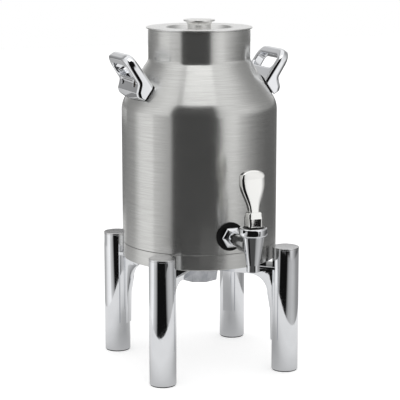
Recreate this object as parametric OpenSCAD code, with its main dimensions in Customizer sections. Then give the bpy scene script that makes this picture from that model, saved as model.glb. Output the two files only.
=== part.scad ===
// Churn-shaped milk dispenser on a four-legged stand, millimetres, +Z up.
// Origin: on the tank's axis, at the level of the table. The tap points to -Y.

/* [Stand] */
// Outside diameter of a leg tube
leg_d = 35; // [28:1:42]
// Wall of a leg tube
leg_wall = 2; // [1.5:0.1:3]
// Height of the leg tops above the table
leg_h = 168; // [160:1:172]
// Gap between the tank and each leg
leg_gap = 2.9; // [2:0.1:6]
// Thickness of the end cap on a leg
cap_t = 2.5; // [2:0.1:4]
// Depth of the spigots of caps and glides inside a leg
spigot_h = 10; // [6:1:16]
// Height of a glide below its leg tube
glide_h = 1.5; // [1:0.1:4]
// Height of the top face of the arms
arm_top = 142; // [138:1:144]
// Half width of the web of an arm
web_half = 6.5; // [5:0.5:9]
// Height of the underside of an arm's web where it leaves the hub
web_under = 128; // [126:0.5:129]
// Radius of the fillet where the web turns down beside the leg
arm_fillet = 25; // [20:0.5:27]
// Thickness of the web beside the leg, at the foot of the fillet
arm_cheek = 5.4; // [4:0.2:9]
// Thickness of the web beside the leg, at its knee
knee_cheek = 1.6; // [1:0.1:3.5]
// Height of that knee
knee_z = 82; // [74:1:90]
// Thickness of the web beside the leg, at its foot
foot_cheek = 0.4; // [0.3:0.1:1]
// Height where the web runs out on its leg
arm_foot = 40; // [30:1:60]
// Thickness of the top flange of an arm
flange_t = 4; // [3:0.5:6]
// Half width of that flange at the hub
flange_root_half = 11; // [9:0.5:12]
// Half width of that flange at the leg
flange_tip_half = 15; // [12:0.5:16]
// Radius of the eight-sided hub over its corners
hub_r = 26.5; // [25:0.5:30]
// Height of the underside of the hub
hub_bottom = 113; // [108:1:116]
// Radius of the hub's bore
hub_bore_r = 17; // [15:0.5:18]
// Thickness of the hub's roof
hub_roof = 4; // [3:0.5:4.5]
// Thickness of the plug in the hub's bore
plug_t = 3; // [2:0.5:5]
// Distance of the hub screws below the top of the arms
hub_screw_drop = 9; // [8.5:0.1:9.5]
// Radius of the head of a hub screw
hub_head_r = 4; // [3.5:0.1:4.2]
// Height of that head
hub_head_h = 4; // [3:0.5:5]
// Radius of the shank of a hub screw
hub_screw_r = 2.5; // [2:0.25:3]
// Reach of a hub screw into its arm
hub_screw_reach = 12; // [8:1:16]
// Thickness of a rest pad
pad_t = 6; // [4:0.5:8]
// Width of a rest pad
pad_w = 15; // [10:0.5:18]
// Distance of a rest pad's inner end from the axis
pad_start = 52; // [48:1:60]
// Length of a rest pad
pad_len = 42; // [30:1:44]

/* [Tank] */
// Outside diameter of the tank
tank_d = 206; // [190:1:230]
// Height of the base cover
base_h = 20; // [18:0.5:26]
// Height from the tank's underside to the shoulder's lower corner
body_h = 206.4; // [190:1:240]
// Slope of the shoulder above level, in degrees
slope = 57.6; // [54:0.2:60]
// Outside diameter of the neck
neck_d = 134.6; // [126:0.2:142]
// Length of the neck above the shoulder
neck_h = 41; // [36:0.5:50]
// Radius of the bend between body and shoulder
body_bend = 33; // [20:1:34]
// Radius of the bend between shoulder and neck
neck_bend = 9; // [5:0.5:12]
// Wall of the outer shell
shell_t = 1; // [0.8:0.1:1.3]
// Wall of the base cover
base_t = 2; // [1.8:0.1:3]
// Wall of the inner liner
liner_t = 0.8; // [0.6:0.1:1.2]
// Distance between the outside faces of shell and liner
wall_gap = 8; // [7:0.5:9]
// Height of the liner's floor above the base cover
liner_lift = 3; // [2.5:0.5:6]
// Thickness of the liner's folded mouth
mouth_t = 1.2; // [1:0.1:2]
// Height of the seam groove
seam_h = 0.6; // [0.4:0.1:1]
// Height of the spigot of the base cover inside the shell
base_spigot = 8; // [5:0.5:12]
// Radius of the cup for the nut under the base cover
nut_cup_r = 16; // [15:0.5:18]
// Depth of that cup
nut_cup_h = 7; // [6.5:0.5:9]
// Radius of the base stud
stud_r = 3; // [2.5:0.25:4]
// Width across the flats of the base nut
base_nut_af = 13; // [11:0.5:15]
// Thickness of the base nut
base_nut_t = 5; // [4:0.5:6]
// Inner radius of the cooling pack
pack_in = 22; // [21:0.5:30]
// Gap round and above the cooling pack
pack_clear = 1; // [0.5:0.1:2]

/* [Handles] */
// Width of a handle along the tank
handle_w = 78; // [68:1:84]
// Lean of the handles out from upright, in degrees
handle_lean = 34.5; // [28:0.5:38]
// Distance from the tank's side in to the strap's inner face at its root
strap_in = 24.8; // [22:0.2:26]
// Height of the strap's root above the shoulder's lower corner
strap_up = 27.3; // [26:0.1:30]
// Thickness of the handle's strap at the grip bar
strap_t = 13.4; // [12:0.2:15]
// Thickness of the strap at its root
strap_root_t = 15.6; // [14:0.2:17]
// Height along the strap from its root to the centre of the grip bar
grip_rise = 47; // [44:0.5:56]
// Radius of the strap's upper corners
strap_corner = 20; // [12:0.5:22]
// Width of a cheek beside the finger window
cheek_w = 9; // [8:0.5:12]
// Height along the strap of the window's lower edge
window_low = 21; // [20:0.5:23]
// Radius of the window's corners
window_corner = 7; // [3:0.5:8]
// Projection of the foot's top edge below the strap's outer face
foot_out = 9.5; // [8:0.1:10.5]
// Lean of the foot's outer face against the strap, in degrees
foot_lean = 20; // [10:1:25]
// Height along the strap of the foot's top
foot_top = 10; // [8:0.5:11]
// Radius of the foot's upper edge
foot_nose = 3; // [2:0.2:3.4]
// Radius of the hollow between foot and strap
foot_bend = 5.8; // [4:0.2:5.8]
// Distance from the tank's side in to the foot's lower edge
flare_in = 3.7; // [3:0.1:6]
// Height of that edge above the shoulder's lower corner
flare_up = 9.6; // [8:0.2:12]
// Slope of the foot's underside above level, in degrees
flare_slope = 30; // [25:1:45]
// Thickness of the pad under a handle
handle_pad_t = 1.5; // [1:0.1:3]
// Angle from the handle's centre to each screw, in degrees
screw_turn = 12.3; // [9:0.1:13]
// Distance of the screws up the shoulder from its lower corner
screw_up = 26; // [24:0.5:26.5]
// Radius of the shank of a handle screw
screw_r = 2.5; // [2:0.1:3]
// Radius of the head of a handle screw
screw_head_r = 3.8; // [3.6:0.1:4.4]
// Height of that head
screw_head_h = 3.2; // [2.5:0.1:4]
// Metal under that head
screw_seat = 5; // [4:0.5:7]
// Thickness of a weld nut behind the shell
weld_nut_t = 4; // [3:0.1:4.5]
// Radius of a weld nut
weld_nut_r = 4.6; // [4:0.1:5.5]

/* [Tap] */
// Height of the shank's axis above the tank's underside
tap_h = 44; // [42:1:60]
// Distance of the spout's axis from the tank's side
tap_reach = 71; // [64:0.5:80]
// Radius of the shank
shank_r = 8; // [7.5:0.1:9]
// Radius of the waterway in the shank
waterway_r = 4.5; // [3.5:0.1:5]
// Radius of the rear boss
boss_r = 11; // [10:0.1:11.2]
// Distance from the boss's rear face to the spout's axis
boss_reach = 29; // [24:0.5:32]
// Radius of the black washer
washer_r = 18.5; // [16:0.5:20]
// Thickness of the black washer at its centre
washer_t = 2.5; // [2:0.1:4]
// Width across the flats of the hex nut and of the back nut
nut_af = 25; // [22:0.5:26]
// Thickness of the hex nut
nut_t = 8.5; // [6:0.5:10]
// Radius of the inner washer
inner_washer_r = 14; // [13:0.5:16]
// Thickness of the inner washer at its centre
inner_washer_t = 2.5; // [2:0.1:4]
// Thickness of the back nut
back_nut_t = 6; // [5:0.5:8]
// Length of the shank behind the back nut
shank_tail = 2; // [1:0.5:4]
// Outer radius of the sleeve between the walls
sleeve_r = 11; // [10:0.2:12]
// Distance from the shank's axis down to the spout's mouth
spout_drop = 30.6; // [29:0.2:36]
// Length of the straight spout
spout_len = 9.6; // [6:0.2:12]
// Outer radius of the spout
spout_r = 8.2; // [7.8:0.1:9]
// Radius of the spout's bore
outlet_r = 5.5; // [4.5:0.1:6]
// Radius of the tap body at its top
body_top_r = 13.9; // [13:0.1:15]
// Height of the tap body's top above the shank's axis
body_rise = 15; // [14:0.5:18]
// Radius of the valve chamber
chamber_r = 8; // [7.5:0.1:8.5]
// Height of the valve seat below the shank's axis
seat_drop = 10; // [9:0.2:11]
// Radius of the threaded neck inside the collar
thread_r = 11.5; // [11:0.1:12]
// Length of that neck
thread_h = 6; // [5:0.5:7]
// Radius of the collar
collar_r = 17.2; // [16.4:0.1:19]
// Height of the collar
collar_h = 11; // [10:0.5:14]
// Radius of the black disc in the collar
disc_r = 13; // [12.4:0.1:14]
// Thickness of that disc
disc_t = 2; // [1.5:0.1:3]

/* [Valve and lever] */
// Radius of the valve stem
stem_r = 2.5; // [2:0.1:3]
// Radius of the seat cup
cup_r = 7; // [6.6:0.1:7.2]
// Height of the seat cup
cup_h = 7; // [6:0.5:9]
// Mean radius of the return spring
spring_r = 5; // [4.4:0.1:5.6]
// Radius of the spring's wire
wire_r = 0.5; // [0.4:0.05:0.7]
// Number of turns of the spring
spring_turns = 7; // [4:1:9]
// Side of the lever's square block
block_w = 16.6; // [15.5:0.1:18]
// Height of the block below its sloping shoulders
block_h = 13; // [12:0.5:16]
// Height of the sloping shoulders
block_slope = 6.4; // [4:0.2:8]
// Chamfer of the block's upright edges
block_chamfer = 2.5; // [1:0.1:3]
// Half width of the lever's neck
neck_half = 6.4; // [5.5:0.1:7]
// Half thickness of the lever's neck
neck_deep = 5.4; // [5:0.1:6.5]
// How far the neck stands forward of the block's centre
neck_fore = 1.5; // [0:0.1:2.5]
// How far the grip's top stands back from the block's centre
grip_back = 3.5; // [0:0.1:5]
// Width of the grip
grip_w = 32; // [26:0.5:38]
// Thickness of the grip
grip_t = 16; // [14:0.5:22]
// Height of the grip above the block
grip_h = 51.5; // [45:0.5:62]
// Radius of the pivot pin
pin_r = 1.5; // [1.2:0.1:1.8]
// How far the lever tips forward, in degrees
lever_tilt = 30; // [20:1:32]
// Metal left beyond the blind end of the pin's bore
pin_wall = 2.5; // [2:0.1:4]
// Height of the pin above the block's underside
pin_up = 5.4; // [5:0.1:6]
// Reach of the stem above the pin
stem_over = 3.5; // [3:0.1:4.5]

/* [Lid] */
// Diameter of the lid
lid_d = 140; // [138:0.5:148]
// Thickness of the lid's sheet
lid_t = 1.6; // [1.2:0.1:2.4]
// Radius of the round recess in the lid
recess_r = 45; // [40:0.5:48]
// Depth of that recess
recess_h = 9; // [6:0.5:12]
// How far the recess's wall slopes in
recess_in = 3; // [1:0.5:5]
// Depth of the plug ring below the mouth
ring_h = 14; // [13:0.5:22]
// Gap between the plug ring and the liner
ring_gap = 3; // [2:0.1:4]
// Thickness of the plug ring
ring_t = 1.2; // [1:0.1:2]
// Height of the gasket
gasket_h = 7; // [4:0.5:9]
// Radius of the knob's stem
knob_stem_r = 15.5; // [13:0.5:16.5]
// Radius of the knob's top
knob_top_r = 20.7; // [18:0.1:24]
// Height of the knob above the lid's rim
knob_rise = 9.4; // [7:0.2:14]
// Thickness of the knob's top edge
knob_edge = 2; // [1.5:0.1:3]
// Depth of the dish in the knob's top
knob_dish = 0.8; // [0.4:0.1:1.2]
// Radius of the knob's screw
knob_screw_r = 2.5; // [2:0.1:3]

/* [Fits] */
// Running clearance of the stem and of the pin
run_fit = 0.05; // [0.02:0.01:0.08]
// Clearance between fixed pieces that slide together
slip_fit = 0.1; // [0.05:0.01:0.2]
// Gap kept between pieces that move past each other
move_gap = 0.3; // [0.2:0.05:0.4]

/* [Hidden] */
$fn = 96;
fine = 360;
big = 400;

tank_r = tank_d / 2;
neck_r = neck_d / 2;
bend = 90 - slope;
tank_z0 = arm_top + pad_t;
seam_z = tank_z0 + base_h;
shell_z0 = seam_z + seam_h;
corner_z = tank_z0 + body_h;
neck_z = corner_z + (tank_r - neck_r) * tan(slope);
mouth_z = neck_z + neck_h;
shell_top = mouth_z - mouth_t;
base_in_r = tank_r - base_t;
liner_r = tank_r - wall_gap;
liner_in_r = liner_r - liner_t;
liner_z0 = seam_z + liner_lift;
mouth_r = neck_r - wall_gap - liner_t;

leg_r = leg_d / 2;
leg_place = tank_r + leg_gap + leg_r;
leg_in_r = leg_r - leg_wall;
leg_near = leg_place - leg_r;
fillet_r = leg_near - arm_cheek;
fillet_z = web_under - arm_fillet;
hub_screw_z = arm_top - hub_screw_drop;

strap_x0 = tank_r - strap_in;
strap_z0 = corner_z + strap_up;
strap_top_r = strap_t / 2;
window_high = grip_rise - strap_top_r;
flare_r0 = tank_r - flare_in;
flare_z0 = corner_z + flare_up;
strap_root = 30;

tap_y = -(tank_r + tap_reach);
tap_z = tank_z0 + tap_h;
washer_y = -(tank_r + washer_t);
nut_y = washer_y - nut_t;
inner_face = liner_in_r - inner_washer_t;
shank_end = inner_face - back_nut_t - shank_tail;
spout_z = tap_z - spout_drop;
taper_z = spout_z + spout_len;
seat_z = tap_z - seat_drop;
body_top = tap_z + body_rise;
thread_top = body_top + thread_h;
collar_top = body_top + collar_h;
boss_y = tap_y + boss_reach;

disc_z = collar_top - disc_t + 0.4;
block_z = disc_z + disc_t + move_gap;
pin_z = block_z + pin_up;
cup_z = seat_z + 0.2;
cup_top = cup_z + cup_h;
slot_half_x = stem_r + 0.7;
slot_half_y = (stem_r + pin_up * sin(lever_tilt)) / cos(lever_tilt) + move_gap;
slot_top = pin_up + stem_over + 1.5;

lid_z = mouth_z;
lid_top = lid_z + lid_t;
recess_z = lid_top - recess_h;
lid_under = recess_z - lid_t;
knob_z = lid_top + knob_rise;
ring_r = mouth_r - ring_gap;
knob_thread = 8;

front_left = [-1, -1];
front_right = [1, -1];
rear_left = [-1, 1];
rear_right = [1, 1];
corners = [front_left, front_right, rear_left, rear_right];

steel = [0.62, 0.62, 0.60];
satin = [0.80, 0.80, 0.81];
chrome = [0.78, 0.79, 0.81];
black = [0.05, 0.05, 0.05];
silicone = [0.86, 0.86, 0.84];
ice = [0.55, 0.72, 0.85];

// A tube along Z
module tube(r_out, r_in, h) {
    difference() {
        cylinder(r = r_out, h = h);
        translate([0, 0, -1]) cylinder(r = r_in, h = h + 2);
    }
}

// Puts a child that points along +Z at height z, so that it points to -Y
module toward_tap(y, z) {
    translate([0, y, z]) rotate([90, 0, 0]) children();
}

// Turns a child drawn along +X to the diagonal of one corner of the stand
module at_corner(c) {
    rotate([0, 0, atan2(c[1], c[0])]) children();
}

// Half section of the churn, moved in by inset, from height z0 to z1
module churn_half(inset, z0, z1) {
    drop = inset * tan(bend / 2);
    r1 = tank_r - inset;
    r2 = neck_r - inset;
    c1 = corner_z - drop;
    c2 = neck_z - drop;
    b1 = body_bend - inset;
    b2 = neck_bend + inset;
    t1 = b1 * tan(bend / 2);
    t2 = b2 * tan(bend / 2);
    intersection() {
        difference() {
            union() {
                polygon([[0, z0 - big], [r1, z0 - big], [r1, c1 - t1],
                         [r1 - t1 * sin(bend), c1 + t1 * cos(bend)],
                         [r2 + t2 * sin(bend), c2 - t2 * cos(bend)], [r2, c2 + t2],
                         [r2, z1 + big], [0, z1 + big]]);
                translate([r1 - b1, c1 - t1]) circle(r = b1);
            }
            translate([r2 + b2, c2 + t2]) circle(r = b2);
        }
        translate([0, z0]) square([big, z1 - z0]);
    }
}

// The churn's solid, moved in by inset
module churn(inset, z0, z1) {
    rotate_extrude() churn_half(inset, z0, z1);
}

module leg(c) {
    at_corner(c) translate([leg_place, 0, glide_h])
        tube(leg_r, leg_in_r, leg_h - cap_t - glide_h);
}

// Side outline of an arm's web: X is the distance from the axis
module web_side() {
    difference() {
        polygon([[0, arm_top], [leg_place, arm_top], [leg_place, arm_foot],
                 [leg_near - foot_cheek, arm_foot], [leg_near - knee_cheek, knee_z],
                 [fillet_r, fillet_z], [fillet_r - arm_fillet, fillet_z],
                 [fillet_r - arm_fillet, web_under], [0, web_under]]);
        translate([fillet_r - arm_fillet, fillet_z]) circle(r = arm_fillet);
    }
}

// Plan of an arm's flange, wider at the leg
module flange_plan() {
    polygon([[0, -flange_root_half], [leg_place, -flange_tip_half],
             [leg_place, flange_tip_half], [0, flange_root_half]]);
}

module arm(c) {
    at_corner(c) difference() {
        union() {
            rotate([90, 0, 0]) linear_extrude(2 * web_half, center = true) web_side();
            translate([0, 0, arm_top - flange_t]) linear_extrude(flange_t) flange_plan();
        }
        cylinder(r = hub_r, h = big, $fn = 8);
        translate([leg_place, 0, 0]) cylinder(r = leg_r, h = big);
        translate([hub_r - 1, 0, hub_screw_z]) rotate([0, 90, 0])
            cylinder(r = hub_screw_r + slip_fit, h = hub_screw_reach + 2);
    }
}

module stand_hub() {
    color(chrome) difference() {
        translate([0, 0, hub_bottom]) cylinder(r = hub_r, h = arm_top - hub_bottom, $fn = 8);
        translate([0, 0, hub_bottom - 1])
            cylinder(r = hub_bore_r, h = arm_top - hub_roof - hub_bottom + 1);
        for (c = corners) at_corner(c) translate([0, 0, hub_screw_z]) rotate([0, 90, 0])
            cylinder(r = hub_screw_r + slip_fit, h = hub_r + 5);
    }
}

module hub_plug() {
    color(chrome) translate([0, 0, hub_bottom])
        cylinder(r = hub_bore_r - slip_fit, h = plug_t);
}

// One hub screw: the head lies in the bore, the shank runs out into the arm
module hub_screws() {
    seat = sqrt(pow(hub_bore_r, 2) - pow(hub_head_r, 2));
    color(satin) for (c = corners) at_corner(c) translate([0, 0, hub_screw_z])
        rotate([0, 90, 0]) {
            translate([0, 0, seat - hub_head_h]) cylinder(r = hub_head_r, h = hub_head_h);
            translate([0, 0, seat - 1])
                cylinder(r = hub_screw_r, h = hub_r + hub_screw_reach - seat + 1);
        }
}

module leg_caps() {
    edge = 0.5;
    color(satin) for (c = corners) at_corner(c) translate([leg_place, 0, 0]) {
        translate([0, 0, leg_h - cap_t]) cylinder(r = leg_r, h = cap_t - edge);
        translate([0, 0, leg_h - edge]) cylinder(r1 = leg_r, r2 = leg_r - edge, h = edge);
        translate([0, 0, leg_h - cap_t - spigot_h])
            cylinder(r = leg_in_r - slip_fit, h = spigot_h + 1);
    }
}

module foot_glides() {
    color(black) for (c = corners) at_corner(c) translate([leg_place, 0, 0]) {
        cylinder(r = leg_r - 1, h = glide_h);
        translate([0, 0, glide_h - 1]) cylinder(r = leg_in_r - slip_fit, h = spigot_h + 1);
    }
}

module rest_pads() {
    color(black) for (c = corners) at_corner(c)
        translate([pad_start, -pad_w / 2, arm_top]) cube([pad_len, pad_w, pad_t - slip_fit]);
}

// Holes of the handle screws in whatever is the child, r wide from t0 to t1
// along each screw, measured from the shell's outside face
module along_screws(side) {
    for (turn = [-screw_turn, screw_turn])
        rotate([0, 0, (side > 0 ? 0 : 180) + turn])
            translate([tank_r - screw_up * cos(slope), 0, corner_z + screw_up * sin(slope)])
                rotate([0, slope, 0]) children();
}

// Everything that the tap's shank passes through
module shank_hole(extra) {
    toward_tap(0, tap_z) cylinder(r = shank_r + extra, h = tank_r + washer_t + nut_t + 1);
}

module outer_shell() {
    color(steel) difference() {
        churn(0, shell_z0, shell_top);
        churn(shell_t, shell_z0 - 1, shell_top + 1);
        shank_hole(slip_fit);
        for (side = [-1, 1]) along_screws(side)
            translate([0, 0, -shell_t - 1]) cylinder(r = screw_r + slip_fit, h = shell_t + 2);
    }
}

module base_cover() {
    color(steel) difference() {
        union() {
            difference() {
                translate([0, 0, tank_z0]) cylinder(r = tank_r, h = base_h);
                translate([0, 0, tank_z0 + base_t]) cylinder(r = base_in_r, h = base_h);
            }
            translate([0, 0, seam_z - 1])
                tube(tank_r - shell_t - slip_fit, base_in_r, base_spigot + 1);
            translate([0, 0, tank_z0]) cylinder(r = nut_cup_r + base_t, h = nut_cup_h + base_t);
        }
        translate([0, 0, tank_z0 - 1]) cylinder(r = nut_cup_r, h = nut_cup_h + 1);
        translate([0, 0, tank_z0 - 1]) cylinder(r = stud_r + slip_fit, h = base_h);
    }
}

module inner_liner() {
    color(satin) difference() {
        union() {
            churn(wall_gap, liner_z0, shell_top + 1);
            translate([0, 0, shell_top]) cylinder(r = neck_r, h = mouth_t);
        }
        churn(wall_gap + liner_t, liner_z0 + liner_t, mouth_z + 1);
        shank_hole(slip_fit);
    }
}

module cooling_pack() {
    low = tank_z0 + base_t;
    color(ice) translate([0, 0, low])
        tube(base_in_r - pack_clear, pack_in, liner_z0 - pack_clear - low);
}

module base_stud() {
    low = tank_z0 + nut_cup_h - base_nut_t - 1;
    color(satin) translate([0, 0, low]) cylinder(r = stud_r, h = liner_z0 - low);
}

module base_nut() {
    color(satin) translate([0, 0, tank_z0 + nut_cup_h - base_nut_t]) difference() {
        cylinder(r = base_nut_af / sqrt(3), h = base_nut_t, $fn = 6);
        translate([0, 0, -1]) cylinder(r = stud_r + slip_fit, h = base_nut_t + 2);
    }
}

// Side outline of the handle's strap, X through its thickness, Y along it
module strap_side() {
    taper = (strap_root_t - strap_t) / grip_rise;
    face = strap_root_t - taper * (foot_top + foot_bend);
    edge = strap_t + foot_out;
    nose_x = edge + foot_nose * tan(foot_lean) - foot_nose / cos(foot_lean);
    nose_y = foot_top - foot_nose;
    polygon([[0, -strap_root], [strap_root_t, -strap_root], [strap_root_t, 0],
             [strap_t, grip_rise], [0, grip_rise]]);
    translate([strap_top_r, grip_rise]) circle(r = strap_top_r);
    polygon([[0, -strap_root], [edge + (foot_top + strap_root) * tan(foot_lean), -strap_root],
             [nose_x + foot_nose * cos(foot_lean), nose_y + foot_nose * sin(foot_lean)],
             [nose_x, nose_y], [nose_x, foot_top], [0, foot_top]]);
    translate([nose_x, nose_y]) circle(r = foot_nose);
    difference() {
        translate([strap_top_r, foot_top - 1])
            square([face + foot_bend - strap_top_r, foot_bend + 1]);
        translate([face + foot_bend, foot_top + foot_bend]) circle(r = foot_bend);
    }
}

// A rectangle with round corners, drawn with true arcs
module round_rect(x0, x1, y0, y1, r) {
    translate([x0 + r, y0]) square([x1 - x0 - 2 * r, y1 - y0]);
    translate([x0, y0 + r]) square([x1 - x0, y1 - y0 - 2 * r]);
    for (x = [x0 + r, x1 - r], y = [y0 + r, y1 - r]) translate([x, y]) circle(r = r);
}

// Puts a drawing of X across and Y up onto the strap, looking through it
module through_strap() {
    rotate([90, 0, 90]) translate([0, 0, -big / 2]) linear_extrude(big) children();
}

// A loop handle on the +X side
module handle() {
    half = handle_w / 2;
    top = grip_rise + strap_top_r;
    difference() {
        intersection() {
            translate([strap_x0, 0, strap_z0]) rotate([0, handle_lean, 0]) intersection() {
                rotate([90, 0, 0]) linear_extrude(handle_w, center = true) strap_side();
                through_strap() union() {
                    round_rect(-half, half, -strap_root, top, strap_corner);
                    translate([-half, -strap_root]) square([handle_w, strap_root + foot_top]);
                }
            }
            rotate_extrude() polygon([[0, flare_z0], [flare_r0, flare_z0],
                [flare_r0 + big * cos(flare_slope), flare_z0 + big * sin(flare_slope)], [0, big * 2]]);
        }
        churn(-handle_pad_t, corner_z - 60, mouth_z);
        translate([strap_x0, 0, strap_z0]) rotate([0, handle_lean, 0]) through_strap()
            round_rect(-half + cheek_w, half - cheek_w, window_low, window_high, window_corner);
        along_screws(1) {
            cylinder(r = screw_r + slip_fit, h = big);
            translate([0, 0, handle_pad_t + screw_seat])
                cylinder(r = screw_head_r + slip_fit, h = big);
        }
    }
}

// The pads fill the space between the handles' feet and the shoulder
module handle_pad() {
    half = handle_w / 2;
    intersection() {
        difference() {
            churn(-handle_pad_t, corner_z, neck_z);
            churn(0, corner_z - 1, neck_z + 1);
            along_screws(1) translate([0, 0, -shell_t - 1])
                cylinder(r = screw_r + slip_fit, h = shell_t + handle_pad_t + 2);
        }
        rotate_extrude() translate([0, flare_z0 + 2]) square(big);
        translate([strap_x0, 0, strap_z0]) rotate([0, handle_lean, 0])
            translate([0.5, -half + 1, -strap_root]) cube([big, handle_w - 2, big]);
    }
}

module handle_pads() {
    color(black) for (turn = [0, 180]) rotate([0, 0, turn]) handle_pad();
}

module handle_screws() {
    color(steel) for (side = [-1, 1]) along_screws(side) difference() {
        union() {
            translate([0, 0, -shell_t - weld_nut_t])
                cylinder(r = screw_r, h = shell_t + weld_nut_t + handle_pad_t + screw_seat + 1);
            translate([0, 0, handle_pad_t + screw_seat])
                cylinder(r = screw_head_r, h = screw_head_h);
        }
        translate([0, 0, handle_pad_t + screw_seat + screw_head_h - 1.8])
            cylinder(r = 1.6, h = 3, $fn = 6);
    }
}

module handle_nuts() {
    color(satin) for (side = [-1, 1]) along_screws(side)
        translate([0, 0, -shell_t - weld_nut_t - 0.2]) tube(weld_nut_r, screw_r + slip_fit, weld_nut_t);
}

module tap_sleeve() {
    color(satin) difference() {
        intersection() {
            toward_tap(0, tap_z) cylinder(r = sleeve_r, h = tank_r);
            translate([0, 0, seam_z]) cylinder(r = tank_r - shell_t, h = body_h / 2, $fn = fine);
        }
        translate([0, 0, seam_z - 1]) cylinder(r = liner_r, h = body_h, $fn = fine);
        shank_hole(slip_fit);
    }
}

module outer_washer() {
    color(black) difference() {
        toward_tap(0, tap_z) cylinder(r = washer_r, h = -washer_y);
        translate([0, 0, seam_z - 20]) cylinder(r = tank_r, h = body_h, $fn = fine);
        shank_hole(slip_fit);
    }
}

// A hexagon nut along Z with chamfered corners
module nut(h) {
    corner = nut_af / sqrt(3);
    intersection() {
        difference() {
            cylinder(r = corner, h = h, $fn = 6);
            translate([0, 0, -1]) cylinder(r = shank_r + slip_fit, h = h + 2);
        }
        translate([0, 0, -1]) cylinder(r1 = corner + h + 0.4, r2 = corner - 0.6, h = h + 1);
    }
}

module hex_nut() {
    color(chrome) toward_tap(washer_y, tap_z) nut(nut_t);
}

module inner_washer() {
    color(black) intersection() {
        difference() {
            toward_tap(-inner_face, tap_z) cylinder(r = inner_washer_r, h = wall_gap + inner_washer_t);
            shank_hole(slip_fit);
        }
        translate([0, 0, seam_z]) cylinder(r = liner_in_r, h = body_h, $fn = fine);
    }
}

module back_nut() {
    color(satin) translate([0, -inner_face, tap_z]) rotate([-90, 0, 0]) nut(back_nut_t);
}

// Outline of the tap's upright casting: X is the distance from its axis
module tap_half() {
    polygon([[0, spout_z], [spout_r, spout_z], [spout_r, taper_z],
             [body_top_r, body_top], [thread_r, body_top], [thread_r, thread_top],
             [0, thread_top]]);
}

// The valve chamber with the outlet below it
module chamber_half() {
    polygon([[0, spout_z - 1], [outlet_r, spout_z - 1], [outlet_r, seat_z], [chamber_r, seat_z],
             [chamber_r, thread_top + 1], [0, thread_top + 1]]);
}

module tap_body() {
    color(chrome) difference() {
        union() {
            translate([0, tap_y, 0]) rotate_extrude() tap_half();
            toward_tap(boss_y, tap_z) cylinder(r = boss_r, h = boss_reach - chamber_r);
            toward_tap(-shank_end, tap_z) cylinder(r = shank_r, h = -boss_y - shank_end + 1);
        }
        translate([0, tap_y, 0]) rotate_extrude() chamber_half();
        toward_tap(-shank_end + 1, tap_z) cylinder(r = waterway_r, h = -tap_y - shank_end + 1);
    }
}

module tap_collar() {
    lip = 1.2;
    color(chrome) translate([0, tap_y, 0]) rotate_extrude() difference() {
        polygon([[0, body_top], [body_top_r + 0.6, body_top], [collar_r, body_top + collar_h * 0.45],
                 [collar_r, collar_top - lip], [collar_r - lip, collar_top], [0, collar_top]]);
        translate([0, body_top - 1]) square([thread_r + slip_fit, thread_h + 1 + slip_fit]);
        square([stem_r + run_fit, big]);
        translate([0, disc_z]) square([disc_r + slip_fit, 10]);
    }
}

module collar_disc() {
    color(black) translate([0, tap_y, disc_z]) tube(disc_r, stem_r + run_fit, disc_t);
}

module valve_stem() {
    color(satin) translate([0, tap_y, 0]) difference() {
        translate([0, 0, cup_z + 3]) cylinder(r = stem_r, h = pin_z + stem_over - cup_z - 3);
        translate([0, 0, pin_z]) rotate([0, 90, 0])
            cylinder(r = pin_r + run_fit, h = 20, center = true);
    }
}

module seat_cup() {
    color(silicone) translate([0, tap_y, cup_z]) rotate_extrude() difference() {
        polygon([[0, 0], [outlet_r, 0], [cup_r, 2.5], [cup_r, cup_h], [0, cup_h]]);
        translate([0, 3]) square([stem_r, cup_h]);
    }
}

// A point of the spring's wire: turn is how far round the coil, a round the wire
function coil_point(turn, a, rise) =
    let (r = spring_r + wire_r * cos(a))
    [r * cos(360 * turn), r * sin(360 * turn), rise * turn + wire_r * sin(a)];

module valve_spring() {
    sides = 6;
    steps = 12 * spring_turns;
    low = cup_top + wire_r + move_gap;
    high = thread_top - wire_r - move_gap;
    rise = (high - low) / spring_turns;
    points = [for (i = [0 : steps], s = [0 : sides - 1])
        coil_point(i / 12, 360 * s / sides, rise)];
    walls = [for (i = [0 : steps - 1], s = [0 : sides - 1], half = [0, 1])
        let (a = i * sides + s, b = i * sides + (s + 1) % sides)
        half == 0 ? [a, b, b + sides] : [a, b + sides, a + sides]];
    start_cap = [for (s = [1 : sides - 2]) [0, s + 1, s]];
    last = steps * sides;
    end_cap = [for (s = [1 : sides - 2]) [last, last + s, last + s + 1]];
    color(satin) translate([0, tap_y, low])
        polyhedron(points, concat(walls, start_cap, end_cap), convexity = 10);
}

// Half width of the grip at share t of its height, from the neck to the top
function grip_half(t) =
    let (belly = 0.7)
    t < belly
        ? neck_half + (grip_w / 2 - neck_half) * (1 - cos(180 * t / belly)) / 2
        : grip_w / 2 * pow(1 - pow((t - belly) / (1 - belly), 3), 0.5);

// Half thickness of the grip at share t
function grip_deep(t) =
    let (belly = 0.55)
    t < belly
        ? neck_deep + (grip_t / 2 - neck_deep) * (1 - cos(180 * t / belly)) / 2
        : grip_t / 2 * pow(1 - pow((t - belly) / (1 - belly), 2.4), 0.5);

// A point of a rounded box's outline at angle a, 1 wide and 1 deep on each side
function boxy(a) = [sign(cos(a)) * pow(abs(cos(a)), 0.7), sign(sin(a)) * pow(abs(sin(a)), 0.7)];

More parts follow.
